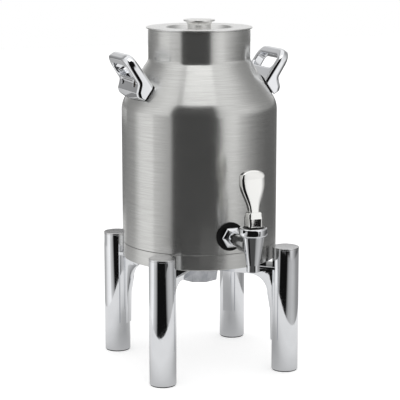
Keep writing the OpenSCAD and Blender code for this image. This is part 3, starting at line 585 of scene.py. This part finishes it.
def from_handle(p):
    """Signed distance from the handle on the +X side. In the strap's own leaning frame the side outline and the
    front outline with its window cut each other with rounded edges; the can, the cone under the foot and the
    screws' seats are then taken away."""
    x, y, z = p.T
    through = (x - STRAP_X) * math.cos(LEAN) - (z - STRAP_Z) * math.sin(LEAN)
    along = (x - STRAP_X) * math.sin(LEAN) + (z - STRAP_Z) * math.cos(LEAN)
    radius = np.hypot(x, y)
    strap = from_outline(through, along, strap_side)
    high = GRIP_RISE + STRAP_TOP_R
    front = round_box(y, along - (high - FRONT_HALF), HANDLE_HALF, FRONT_HALF, STRAP_CORNER)
    body = both(strap, front, CHEEK_R)
    window = round_box(y, along - (WINDOW_LOW + WINDOW_HIGH) / 2, HANDLE_HALF - CHEEK,
                       (WINDOW_HIGH - WINDOW_LOW) / 2, WINDOW_CORNER)
    body = both(body, -window, WINDOW_EDGE)
    cone = (radius - FLARE_R) * math.sin(FLARE_SLOPE) - (z - FLARE_Z) * math.cos(FLARE_SLOPE)
    body = both(body, cone, FLARE_EDGE)
    body = both(body, -from_outline(radius, z, can_outline), PAD_EDGE)
    for way in (-1, 1):
        turn = way * SCREW_TURN
        near = x * math.cos(turn) + y * math.sin(turn) - TANK_R + SCREW_UP * math.cos(SHOULDER_SLOPE)
        aside = y * math.cos(turn) - x * math.sin(turn)
        above = z - SHOULDER_Z - SCREW_UP * math.sin(SHOULDER_SLOPE)
        out = near * math.sin(SHOULDER_SLOPE) + above * math.cos(SHOULDER_SLOPE)
        off = np.hypot(near * math.cos(SHOULDER_SLOPE) - above * math.sin(SHOULDER_SLOPE), aside)
        seat = np.maximum(off - SCREW_HEAD_R - SCREW_GAP, PAD_T + SCREW_SEAT - out)
        body = np.maximum(both(body, -seat, SEAT_EDGE), SCREW_R + SCREW_GAP - off)
    return body


points, faces, normals = settled(*small_squares("handle_right", HANDLE_CELL), from_handle)
turn_back = np.array([-1.0, -1.0, 1.0])
piece("loop_right", (points, faces), chrome, "tank", ["handle_right"], normals)
piece("loop_left", (points * turn_back, faces), chrome, "tank", ["handle_left"], normals * turn_back)

dark_steel = cast_metal("dark_steel", (0.10, 0.075, 0.055), (0.20, 0.16, 0.12), (0.30, 0.45), 200.0, 0.3)
dress(black_rubber, "handle_pads")
dress(dark_steel, "handle_screws")
dress(satin, "handle_nuts")


# ------------------------------
# Tap fixing
# A rubber washer shaped to the can lies under a chromed hexagon nut outside;
# inside are a sleeve between the walls, a second washer and the back nut.
# ------------------------------

TAP_Z = 192.0
WASHER_R, WASHER_T = 18.5, 2.5
SHANK_R, SHANK_GAP = 8.0, 0.1
NUT_AF, NUT_T, NUT_CONE, NUT_FACE = 25.0, 8.5, 2.8, 1.4


def ring_on_can(outline, sides=160):
    """A ring about the tap's axis whose back lies on the can: each outline point is a radius and a share of
    the way from the can's surface, y = -sqrt(R^2 - x^2), to the flat front."""
    angle = -round_angles(sides)
    r, share = outline[:, :1], outline[:, 1:]
    x, z = r * np.cos(angle), TAP_Z + r * np.sin(angle)
    back = -np.sqrt(TANK_R ** 2 - x ** 2)
    return skin(points_at(x, back + share * (-(TANK_R + WASHER_T) - back), z)[:, ::-1])


def hexagon(outline, y_start, af, sides=240, power=70.0):
    """A six-sided nut about the tap's axis: outline points are a radius and a depth. Past the bore the radius is
    the lesser of itself and that of the hexagon, af / 2 / cos(angle from the middle of a side), its corners
    slightly softened by a high power mean."""
    angle = round_angles(sides)
    faces_at = np.radians(30 + 60 * np.arange(6))
    toward = np.maximum(np.cos(angle[:, None] - faces_at), 0) / (af / 2)
    hexagonal = (toward ** power).sum(1) ** (-1 / power)
    r, depth = outline[:, :1], outline[:, 1:]
    least = (1 / r ** power + 1 / hexagonal ** power) ** (-1 / power)
    r = np.where(r > SHANK_R + 2, least, r)
    return skin(points_at(r * np.cos(angle), y_start - depth, TAP_Z + r * np.sin(angle)))


hole_r = SHANK_R + SHANK_GAP
washer = rounded([(hole_r, 0), (WASHER_R, 0), (WASHER_R, 1), (hole_r, 1)], [0, 0, 0.28, 0])
piece("rubber_washer", ring_on_can(washer), black_rubber, "tank", ["outer_washer"])
nut_corner = NUT_AF / math.sqrt(3)
nut_side = rounded([(hole_r, 0), (nut_corner - 0.2, 0), (nut_corner + 0.8, 0.6),
                    (nut_corner + 0.8, NUT_T - NUT_CONE), (SHANK_R + NUT_FACE, NUT_T), (hole_r, NUT_T)],
                   [0.3, 0.2, 0.5, 0.5, 0.4, 0.4])
piece("tap_nut", hexagon(nut_side, -(TANK_R + WASHER_T), NUT_AF), chrome, "tank", ["hex_nut"])
dress(satin, "tap_sleeve", "back_nut")
dress(black_rubber, "inner_washer")


# ------------------------------
# Tap body
# One brass casting, polished and chromed: an upright body that tapers to the
# spout, a boss at its back and the threaded shank that passes into the tank.
# ------------------------------

TAP_Y = -174.0
SPOUT_LOW, SPOUT_LEN, SPOUT_R, OUTLET_R = 161.4, 9.6, 8.2, 5.5
BODY_TOP, BODY_TOP_R = 207.0, 13.9
THREAD_TOP, THREAD_R = 213.0, 11.5
SEAT_Z, CHAMBER_R = 182.0, 8.0
BOSS_Y, BOSS_R = -145.0, 11.0
SHANK_END, WATERWAY_R = -83.7, 4.5
INWARD, PAST_END = -30.0, 5.0
TAP_CELL = 0.7

body_side = np.array([(INWARD, SPOUT_LOW), (SPOUT_R, SPOUT_LOW), (SPOUT_R, SPOUT_LOW + SPOUT_LEN),
                      (BODY_TOP_R, BODY_TOP), (THREAD_R, BODY_TOP), (THREAD_R, THREAD_TOP), (INWARD, THREAD_TOP)])
chamber_side = np.array([(INWARD, SPOUT_LOW - PAST_END), (OUTLET_R, SPOUT_LOW - PAST_END), (OUTLET_R, SEAT_Z),
                         (CHAMBER_R, SEAT_Z), (CHAMBER_R, THREAD_TOP + PAST_END), (INWARD, THREAD_TOP + PAST_END)])
soft_side = rounded(body_side, [0, 0.8, 6.0, 0.6, 0.3, 0.4, 0], turn=6.0)


def either(a, b, radius):
    """Inside a or inside b, with a hollow of the given radius where they meet."""
    return -both(-a, -b, radius)


def from_tap(p):
    """Signed distance from the casting: the upright body and the boss run into each other through a small
    hollow, the shank leaves the boss, and the chamber, outlet and waterway are taken away."""
    x, y, z = p.T
    round_tap = np.hypot(x, y - TAP_Y)
    round_shank = np.hypot(x, z - TAP_Z)
    upright = from_outline(round_tap, z, soft_side)
    boss = both(round_shank - BOSS_R, np.maximum(y - BOSS_Y, TAP_Y - y), 1.0)
    shank = both(round_shank - SHANK_R, np.maximum(y - SHANK_END, TAP_Y - y), 0.5)
    solid = either(either(upright, boss, 2.0), shank, 0.6)
    solid = both(solid, -from_outline(round_tap, z, chamber_side), 0.4)
    return np.maximum(solid, -np.maximum(round_shank - WATERWAY_R, TAP_Y - y))


points, faces, normals = settled(*small_squares("tap_body", TAP_CELL), from_tap)
piece("tap_casting", (points, faces), chrome, "tank", ["tap_body"], normals)


# ------------------------------
# Collar and disc
# The chromed collar screws onto the body and closes the valve chamber; a
# black disc in its top keeps the lever's block from scratching it.
# ------------------------------

COLLAR_R = 17.8
COLLAR_TOP = 218.0
DISC_Z = 216.4
DISC_R = 13.0
STEM_R = 2.5
FIT = 0.1
COLLAR_FOOT, COLLAR_BELLY = 1.6, 5.6

collar = rounded([(STEM_R + FIT, THREAD_TOP + FIT), (THREAD_R + FIT, THREAD_TOP + FIT), (THREAD_R + FIT, BODY_TOP),
                  (BODY_TOP_R + 0.2, BODY_TOP), (COLLAR_R - 0.2, BODY_TOP + COLLAR_FOOT),
                  (COLLAR_R, BODY_TOP + COLLAR_BELLY), (COLLAR_R - 0.1, COLLAR_TOP), (DISC_R + FIT, COLLAR_TOP),
                  (DISC_R + FIT, DISC_Z), (STEM_R + FIT, DISC_Z)],
                 [0, 0.3, 0.3, 0.4, 2.0, 30.0, 2.2, 0.3, 0.2, 0], turn=8.0)
piece("collar_cup", turned(collar, 160, (0, TAP_Y)), chrome, "tank", ["tap_collar"])
black_plastic = moulded("black_plastic", (0.005, 0.005, 0.005), (0.009, 0.009, 0.009), (0.25, 0.40), 0.15,
                        shine=0.3)
dress(black_plastic, "collar_disc")


# ------------------------------
# Valve
# Inside the body a steel stem carries a silicone cup onto the seat; a coil
# spring over the stem presses it shut, and shortens as the stem rises.
# ------------------------------

SPRING_R, WIRE_R, SPRING_TURNS = 5.0, 0.5, 7


def coil(low, high, steps=36, sides=16):
    """The spring's wire: a circle of the wire's radius carried along x = R cos a, y = R sin a with z rising evenly
    from low to high over the turns, its ends closed by a point."""
    turn = 2 * np.pi * np.linspace(0, SPRING_TURNS, SPRING_TURNS * steps + 1)[:, None]
    around = -round_angles(sides)
    run = np.concatenate([turn[:1], turn, turn[-1:]])
    wire = np.full(run.shape, WIRE_R)
    wire[0] = wire[-1] = 0
    r = SPRING_R + wire * np.cos(around)
    z = low + (high - low) * run / turn[-1] + wire * np.sin(around)
    return skin(points_at(r * np.cos(run), TAP_Y + r * np.sin(run), z), poles=True)


silicone = moulded("silicone", (0.78, 0.78, 0.76), (0.86, 0.86, 0.84), (0.35, 0.5), 0.2)
spring_low, spring_high = (corner[2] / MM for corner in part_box("valve_spring"))
spring = piece("spring", coil(spring_low + WIRE_R, spring_high - WIRE_R), satin, "tank",
               ["valve_spring"])
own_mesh(spring)
dress(satin, "valve_stem")
dress(silicone, "seat_cup", "lid_gasket")


# ------------------------------
# Lever
# The lever is cast in one: a block that sits over the stem, chamfered at its
# corners, and a drop-shaped grip above it; a cross pin joins block and stem.
# ------------------------------

BLOCK_Z = 218.7
BLOCK_HALF = 9.0
BLOCK_TOP, BLOCK_SIDE, BLOCK_FRONT, BLOCK_CHAMFER = 19.4, 17.0, 11.4, 1.0
BLOCK_RIM, BLOCK_CROWN, NECK_LAP = 0.9, 0.97, 0.6
NECK_HALF, NECK_DEEP, NECK_FORE = 6.8, 5.4, 1.5
GRIP_BACK, GRIP_HALF, GRIP_DEEP, GRIP_H = 3.5, 16.4, 6.8, 51.2
WIDE_AT, DEEP_AT, WIDE_CROWN, DEEP_CROWN = 0.7, 0.55, 4.5, 3.4
LEFT_EDGE, RIGHT_EDGE = 0.30, 0.58
RINGS_TO_TOP = 1.8
SLOT_X, SLOT_Y, SLOT_TOP, SLOT_CHAMFER = 3.2, 6.3, 10.4, 0.4
PIN_R, PIN_UP, PIN_END, PIN_PROUD = 1.5, 5.4, -5.7, 0.12


def swelling(t, least, most, at, crown):
    """A half size along the grip: from least to most by a cosine until t = at, then closing by a power law."""
    return np.where(t < at, least + (most - least) * (1 - np.cos(np.pi * t / at)) / 2,
                    most * np.sqrt(1 - (np.maximum(t - at, 0) / (1 - at)) ** crown))


def grip_surface(rings=90, sides=128):
    """The grip: rings of rounded boxes (cos and sin to a low power) whose half width and half depth swell from
    the neck and close at the top, and whose middle leans back by a sine."""
    share = 1 - (1 - np.linspace(0, 1, rings)) ** RINGS_TO_TOP
    share[-1] = 1
    t = share[:, None]
    half = swelling(t, NECK_HALF, GRIP_HALF, WIDE_AT, WIDE_CROWN)
    deep = swelling(t, NECK_DEEP, GRIP_DEEP, DEEP_AT, DEEP_CROWN)
    back = (NECK_FORE + GRIP_BACK) * np.sin(np.pi / 2 * t) - NECK_FORE
    angle = round_angles(sides)
    squareness = np.where(np.cos(angle) < 0, LEFT_EDGE, RIGHT_EDGE)
    across = np.sign(np.cos(angle)) * np.abs(np.cos(angle)) ** squareness
    fore = np.sign(np.sin(angle)) * np.abs(np.sin(angle)) ** squareness
    low = BLOCK_Z + BLOCK_TOP - 1
    rings_at = points_at(half * across, TAP_Y + deep * fore + back, low + (GRIP_H + 1) * t)
    foot = rings_at[:1].copy()
    foot[:, :, :2] = (0, TAP_Y - NECK_FORE)
    return skin(np.concatenate([foot, rings_at]), poles=True)


def soft_octagon(angle, half_x, half_y, chamfer, power=26.0):
    """Polar radius of a rectangle with cut corners: the power mean of its eight sides' distances."""
    c, s = np.cos(angle), np.sin(angle)
    sides = [(c, half_x), (-c, half_x), (s, half_y), (-s, half_y)]
    sides += [(a * c + b * s, half_x + half_y - chamfer) for a in (-1, 1) for b in (-1, 1)]
    return sum((np.maximum(toward, 0) / reach) ** power for toward, reach in sides) ** (-1 / power)


def block_surface(sides=192):
    """The block: octagon rings stacked from the slot's roof down the slot, round under the rim, up the sides and
    in over the slopes, which start lower at the front and back than at the sides. Each ring is a polar outline at
    its own height."""
    angle = round_angles(sides)
    rings = []

    def ring(r, z, fore=0.0):
        rings.append(points_at(r * np.cos(angle), r * np.sin(angle) - fore, z))

    for scale, z in ((0.0, SLOT_TOP), (1.0, SLOT_TOP), (1.0, SLOT_TOP - 0.2), (1.0, 0.2), (1.06, 0.0), (1.1, 0.0)):
        ring(soft_octagon(angle, SLOT_X, SLOT_Y, SLOT_CHAMFER) * scale, z)
    for a in np.radians(np.linspace(-90, 0, 7)):
        half = BLOCK_HALF - BLOCK_RIM * (1 - math.cos(a))
        ring(soft_octagon(angle, half, half, BLOCK_CHAMFER), BLOCK_RIM * (1 + math.sin(a)))
    for z in (BLOCK_FRONT - 0.4, BLOCK_FRONT - 0.15, BLOCK_FRONT + 0.15, BLOCK_FRONT + 0.4, BLOCK_SIDE - 0.3,
              BLOCK_SIDE + 0.3, BLOCK_TOP - 0.5, BLOCK_TOP - 0.2, BLOCK_TOP):
        front_rise = max(0.0, (z - BLOCK_FRONT) / (BLOCK_TOP - BLOCK_FRONT))
        side_rise = max(0.0, (z - BLOCK_SIDE) / (BLOCK_TOP - BLOCK_SIDE))
        half_x = BLOCK_HALF + (NECK_HALF + NECK_LAP - BLOCK_HALF) * side_rise
        half_y = BLOCK_HALF + (NECK_DEEP + NECK_LAP - BLOCK_HALF) * front_rise
        r = soft_octagon(angle, half_x, half_y, BLOCK_CHAMFER) * (BLOCK_CROWN if z == BLOCK_TOP else 1)
        ring(r, z, NECK_FORE * front_rise)
    ring(0.0, BLOCK_TOP, NECK_FORE)
    return skin(np.stack(rings) + np.array([0, TAP_Y, BLOCK_Z]), poles=True)


lever_chrome = cast_metal("lever_chrome", (0.87, 0.87, 0.85), (0.90, 0.895, 0.875), (0.05, 0.10), 60.0, 0.08)
piece("lever_casting", joined(block_surface(), grip_surface()), lever_chrome, "lever", ["tap_lever"])


def cross_pin(outline, sides=64):
    """The pin, turned about an axis along X through the block: outline points are a radius and a place on X."""
    angle = round_angles(sides)
    r, x = outline[:, :1], outline[:, 1:]
    return skin(points_at(x, TAP_Y + r * np.cos(angle), BLOCK_Z + PIN_UP + r * np.sin(angle)), poles=True)


pin_head = BLOCK_HALF + PIN_PROUD
pin_side = rounded([(0, PIN_END), (PIN_R, PIN_END), (PIN_R, pin_head), (0, pin_head)], [0, 0.3, 0.4, 0], closed=False)
piece("pin", cross_pin(pin_side), satin, "lever", ["lever_pin"])


# ------------------------------
# Lid
# A lid pressed from satin steel, its middle dished to take the knob; below it
# a rolled ring holds a soft gasket against the liner's mouth.
# ------------------------------

LID_R, LID_T = 70.0, 1.6
LID_LOW = MOUTH_Z
LID_HIGH = MOUTH_Z + LID_T
RECESS_R, RECESS_H, RECESS_IN = 45.0, 9.0, 3.0
RECESS_Z = LID_HIGH - RECESS_H
RECESS_FOOT_R = RECESS_R - RECESS_IN
LID_HOLE = 2.6

lid_steel = turned_metal("lid_steel", (0.78, 0.78, 0.77), (0.84, 0.84, 0.83), (0.24, 0.32), 0.15, across=0.4)
lid_side = rounded([(LID_HOLE, RECESS_Z - LID_T), (RECESS_FOOT_R, RECESS_Z - LID_T), (RECESS_R + LID_T, LID_LOW),
                    (LID_R, LID_LOW), (LID_R, LID_HIGH), (RECESS_R, LID_HIGH),
                    (RECESS_FOOT_R - 0.5, RECESS_Z), (LID_HOLE, RECESS_Z)],
                   [0, 2.0, 1.0, 0.6, 0.7, 1.6, 2.2, 0])
piece("lid_pressing", turned(lid_side, 256), lid_steel, "lid", ["lid"])
dress(satin, "lid_ring", "knob_screw")


# ------------------------------
# Knob
# A knob turned from solid steel, waisted under a flat head with a shallow
# dish, and held from under the lid by one screw.
# ------------------------------

KNOB_STEM_R, KNOB_TOP_R, KNOB_HIGH, KNOB_EDGE = 15.5, 20.7, LID_HIGH + 9.4, 2.0
DISH_R, DISH_DEEP = KNOB_STEM_R - 0.6, 0.4


def arc(centre, radius, first, last, steps):
    """Points of a circular arc from one angle to another, in degrees."""
    angle = np.radians(np.linspace(first, last, steps + 1))
    return np.stack([centre[0] + radius * np.cos(angle), centre[1] + radius * np.sin(angle)], -1)


flare = KNOB_TOP_R - KNOB_STEM_R
under = KNOB_HIGH - KNOB_EDGE
knob_low = rounded([(0, RECESS_Z), (KNOB_STEM_R, RECESS_Z), (KNOB_STEM_R, under - flare - 0.2)], [0, 0.4, 0],
                   closed=False)
knob_flare = arc((KNOB_TOP_R, under - flare), flare, 180, 95, 14)
knob_top = rounded([knob_flare[-1], (KNOB_TOP_R, under), (KNOB_TOP_R, KNOB_HIGH), (KNOB_STEM_R + 0.3, KNOB_HIGH),
                    (DISH_R, KNOB_HIGH - DISH_DEEP), (0, KNOB_HIGH - DISH_DEEP)],
                   [0, 0.3, 0.7, 0.6, 0.6, 0], closed=False)
knob_steel = turned_metal("knob_steel", (0.82, 0.815, 0.80), (0.89, 0.885, 0.87), (0.30, 0.38), 0.15)
piece("knob", turned(np.concatenate([knob_low, knob_flare[:-1], knob_top]), 192), knob_steel, "lid",
      ["lid_knob"])


# ------------------------------
# Studio
# A pale floor in a white room, a soft box overhead, and cards round the
# dispenser, from black to white, that its metal mirrors as upright bands.
# ------------------------------

CAMERA_TURN = math.radians(-22.6)
CAMERA_D, CAMERA_H = 1.9445, 0.60335
CAMERA_PITCH = math.radians(11.125)
AIM_RIGHT = 0.75 / 1474.3
CAMERA_ANGLE = math.atan2(-math.cos(CAMERA_TURN), math.sin(CAMERA_TURN))
LENS, SENSOR = 132.7, 36.0
FLOOR_HALF, FLOOR_STEPS, FLOOR_GLOW, ROOM_LEVEL = 4.5, 41, 0.42, 0.8
BOX_WIDE, BOX_DEEP, BOX_LIGHT = 1.3, 1.2, 2.8
BOX_PLACE, BOX_TILT = (-0.40, -0.97, 1.9), math.radians(32)


def stage_mesh(name, rings, material):
    """A card or floor from a grid of points in metres, rows x sides, with squares between them."""
    rows, sides = rings.shape[:2]
    i, j = np.meshgrid(np.arange(rows - 1), np.arange(sides - 1), indexing="ij")
    first = i * sides + j
    squares = np.stack([first, first + 1, first + sides + 1, first + sides], -1).reshape(-1, 4)
    return in_scene(name, surface_mesh(name, rings.reshape(-1, 3), squares.tolist(), material))


def only_mirrored(card):
    """A card that only reflections see: it casts no shadow, lights nothing and isn't in the picture."""
    card.visible_camera = False
    card.visible_diffuse = False
    card.visible_shadow = False
    card.visible_transmission = False
    card.visible_volume_scatter = False
    return card


def glow(name, stops, by="angle"):
    """A card's shader: light whose level follows the angle in degrees from the camera's side (to the right is
    plus) or the distance in metres from the middle, as a list of stops (angle or distance, level)."""
    made = bpy.data.materials.new(name)
    made.use_nodes = True
    tree = made.node_tree
    tree.nodes.clear()
    place = node(tree, "ShaderNodeTexCoord").outputs["Object"]
    if by == "angle":
        x, y = node(tree, "ShaderNodeSeparateXYZ", place).outputs[:2]
        angle = node(tree, "ShaderNodeMath", y, x, operation="ARCTAN2").outputs[0]
        share = node(tree, "ShaderNodeMath", angle, operation="MULTIPLY_ADD", at={1: 1 / (2 * math.pi), 2: 0.5})
        ramp = node(tree, "ShaderNodeValToRGB", share.outputs[0])
        placed = sorted(((0.5 + (math.degrees(CAMERA_ANGLE) + turn) / 360) % 1, value) for turn, value in stops)
    else:
        radius = node(tree, "ShaderNodeVectorMath", place, operation="LENGTH").outputs["Value"]
        ramp = node(tree, "ShaderNodeValToRGB", radius)
        placed = stops
    elements = ramp.color_ramp.elements
    while len(elements) < len(placed):
        elements.new(0.5)
    for element, (position, value) in zip(elements, placed):
        element.position = position
        element.color = (value, value, value, 1)
    light = node(tree, "ShaderNodeEmission", ramp.outputs[0])
    node(tree, "ShaderNodeOutputMaterial", light.outputs[0])
    return made


def band(name, low, high, material, about=(0.0, 0.0), steps=145):
    """A card bent round an upright axis, between two edges, each given as radius, height, first and last angle
    from the camera's side in degrees."""
    rows = []
    for radius, height, first, last in (low, high):
        turn = CAMERA_ANGLE + np.radians(np.linspace(first, last, steps))
        rows.append(points_at(about[0] + radius * np.cos(turn), about[1] + radius * np.sin(turn), height))
    return only_mirrored(stage_mesh(name, np.stack(rows), material))


def ring_card(name, low, high, material):
    """A card bent all the way round, between two edges, each given as radius and height."""
    return band(name, (*low, -180, 180), (*high, -180, 180), material)


def board(name, turn, near, far, low, high, material, steps=12):
    """A flat upright card that points at the dispenser's axis, at an angle in degrees from the camera's side."""
    reach = np.linspace(near, far, steps)
    way = CAMERA_ANGLE + math.radians(turn)
    rows = [points_at(reach * math.cos(way), reach * math.sin(way), height) for height in (low, high)]
    return only_mirrored(stage_mesh(name, np.stack(rows), material))


BLACK = 0.006
CARD_R, FLOOR_CARD_Z = 0.92, 0.001
EDGE_Z, LOW_Z, RAISED_Z, MIDDLE_Z = 0.02, 0.085, 0.17, 0.38
NEAR_R, FAR_R = 0.36, 0.78
TAP_PLACE = (0.0, TAP_Y * MM)
LEFT_STOPS = [(-180, 0.20), (-152, 0.22), (-140, 0.24), (-133, 0.27), (-117, 0.33), (-107, 0.39)]
WHITE_STOPS = [(-92, 0.98), (-76, 1.0), (-60, 0.68), (-48, 0.53), (-40, 0.50)]
RIGHT_STOPS = [(75, 0.37), (91, 0.18), (110, 0.10), (135, 0.10), (160, 0.20)]
LOW_STOPS = LEFT_STOPS + WHITE_STOPS + [(30, 0.66), (38, 0.70), (50, 0.76), (61, 0.62)] + RIGHT_STOPS
RAISED_STOPS = LEFT_STOPS + WHITE_STOPS + [(30, 0.75), (38, 0.98), (50, 0.90), (61, 0.64)] + RIGHT_STOPS
MIDDLE_STOPS = ([(-180, 0.16), (-152, 0.18), (-140, 0.21), (-133, 0.25), (-117, 0.36), (-107, 0.43)] + WHITE_STOPS
                + [(30, 0.80), (42, 1.0), (52, 1.0), (61, 0.66), (75, 0.37), (91, 0.20), (110, 0.12), (135, 0.12),
                   (160, 0.16)])
EDGE_STOPS = [(-180, 0.60), (-160, 0.80), (-141, 0.80), (-131, 0.42), (-107, 0.42), (-92, 0.90), (-76, 1.0),
              (-60, 0.70), (-46, 0.50), (-41, 0.25), (-37, BLACK), (34, BLACK), (40, 0.45), (50, 0.72), (61, 0.58),
              (75, 0.36), (91, 0.16), (110, 0.06), (135, 0.07), (160, 0.20)]
HIGH_STOPS = [(-180, 0.84), (-160, 0.84), (-145, 0.50), (-130, 0.30), (-105, 0.40), (-80, 0.85), (-60, 0.95),
              (-41, 0.90), (-39, BLACK), (22, BLACK), (30, 0.75), (45, 0.95), (70, 0.85), (90, 0.60), (105, 0.40),
              (130, 0.32), (145, 0.50), (160, 0.84)]
FAR_STOPS = [(-180, 0.50), (-160, 0.52), (-134, 0.44), (-113, 0.56), (-98, 0.86), (-80, 1.0), (-66, 0.70),
             (-52, 0.50), (-41, 0.25), (-37, BLACK), (18, BLACK), (26, 0.25), (36, 0.45), (60, 0.55), (74, 0.50),
             (90, 0.34), (114, 0.28), (140, 0.40)]
# Painted shadow: the near floor card, which only reflections see, gets darker towards the middle, where the tank
# shades the floor under it.
NEAR_SHADOW_STOPS = [(0.0, 0.38), (0.10, 0.47), (0.17, 0.68), (0.24, 0.80), (0.36, 0.83)]
edge_light = glow("edge_card_light", EDGE_STOPS)
black_card = glow("black_card_light", [(-30, BLACK), (30, BLACK)])
side_board = board("side_board", -20.0, 0.17, 0.52, 0.186, 0.30, black_card)
cards = [
    ring_card("edge_cards", (CARD_R, 0.0), (CARD_R, EDGE_Z), edge_light),
    ring_card("low_cards", (CARD_R, EDGE_Z), (CARD_R, LOW_Z), glow("low_card_light", LOW_STOPS)),
    ring_card("raised_cards", (CARD_R, LOW_Z), (CARD_R, RAISED_Z), glow("raised_card_light", RAISED_STOPS)),
    ring_card("middle_cards", (CARD_R, RAISED_Z), (CARD_R, MIDDLE_Z), glow("middle_card_light", MIDDLE_STOPS)),
    ring_card("high_cards", (CARD_R, MIDDLE_Z), (FAR_R, 1.25), glow("high_card_light", HIGH_STOPS)),
    ring_card("edge_floor", (FAR_R, FLOOR_CARD_Z), (0.915, FLOOR_CARD_Z), edge_light),
    ring_card("far_floor", (NEAR_R, FLOOR_CARD_Z), (FAR_R, FLOOR_CARD_Z), glow("far_floor_light", FAR_STOPS)),
    # Painted shadow of the tank under it, on a floor card that only reflections see.
    ring_card("near_floor", (0.0, FLOOR_CARD_Z), (NEAR_R, FLOOR_CARD_Z),
              glow("near_floor_painted_shadow", NEAR_SHADOW_STOPS, by="distance")),
    band("dark_card", (0.90, 0.002, -38.5, 40), (0.90, MIDDLE_Z, -38.5, 22), black_card),
    band("handle_card", (0.28, 0.302, -150, -115), (0.28, 0.345, -150, -115),
         glow("handle_card_light", [(-150, 0.42), (-131, 0.42), (-122, 0.60), (-115, 0.70)])),
    band("tap_card", (0.10, 0.115, -40, 22), (0.10, 0.165, -40, 22),
         glow("tap_card_light", [(-30, 0.075), (30, 0.075)]), TAP_PLACE),
    band("block_flag", (0.11, 0.178, 44, 54), (0.11, 0.2125, 44, 54), black_card, TAP_PLACE),
    side_board,
]


def seen_directly(tree):
    """1 for rays from the camera and from mirrored or clear surfaces, and 0 for the rays that light things."""
    path = node(tree, "ShaderNodeLightPath").outputs
    seen = path["Is Camera Ray"]
    for kind in ("Is Glossy Ray", "Is Transmission Ray"):
        seen = node(tree, "ShaderNodeMath", seen, path[kind], operation="ADD", use_clamp=True).outputs[0]
    return seen


floor_paint, tree, shader = new_material("white_floor")
shader.inputs["Roughness"].default_value = 0.8
shader.inputs["Specular IOR Level"].default_value = 0.1
place = node(tree, "ShaderNodeTexCoord").outputs["Object"]
noise = node(tree, "ShaderNodeTexNoise", place, Scale=4.0, Detail=2.0).outputs[0]
tree.links.new(tint(tree, noise, (0.90, 0.90, 0.90), (0.93, 0.93, 0.93)), shader.inputs["Base Color"])
lift = node(tree, "ShaderNodeMath", seen_directly(tree), operation="MULTIPLY", at={1: FLOOR_GLOW})
shader.inputs["Emission Color"].default_value = (1, 1, 1, 1)
tree.links.new(lift.outputs[0], shader.inputs["Emission Strength"])

grid = np.linspace(-FLOOR_HALF, FLOOR_HALF, FLOOR_STEPS)
floor = stage_mesh("floor", points_at(grid[None], grid[:, None], 0.0), floor_paint)

world = bpy.data.worlds.new("white_room")
bpy.context.scene.world = world
world.use_nodes = True
tree = world.node_tree
tree.nodes.clear()
strength = node(tree, "ShaderNodeMapRange", seen_directly(tree), at={1: 0.0, 2: 1.0, 3: ROOM_LEVEL, 4: 1.0})
room = node(tree, "ShaderNodeBackground", at={0: (1, 1, 1, 1)})
tree.links.new(strength.outputs[0], room.inputs[1])
node(tree, "ShaderNodeOutputWorld", room.outputs[0])

box_light = bpy.data.lights.new("soft_box", "AREA")
box_light.shape = "RECTANGLE"
box_light.size, box_light.size_y = BOX_WIDE, BOX_DEEP
box_light.energy = BOX_LIGHT
soft_box = in_scene("soft_box", box_light)
soft_box.location = BOX_PLACE
soft_box.rotation_euler = (BOX_TILT, 0, CAMERA_TURN)

lens = bpy.data.cameras.new("camera")
lens.lens = LENS
lens.sensor_width = SENSOR
lens.clip_start, lens.clip_end = 0.1, 30.0
camera = in_scene("camera", lens)
camera.location = (CAMERA_D * math.sin(CAMERA_TURN), -CAMERA_D * math.cos(CAMERA_TURN), CAMERA_H)
camera.rotation_euler = (math.pi / 2 - CAMERA_PITCH, 0, CAMERA_TURN - AIM_RIGHT)
bpy.context.scene.camera = camera
bpy.context.scene.view_settings.view_transform = "Standard"
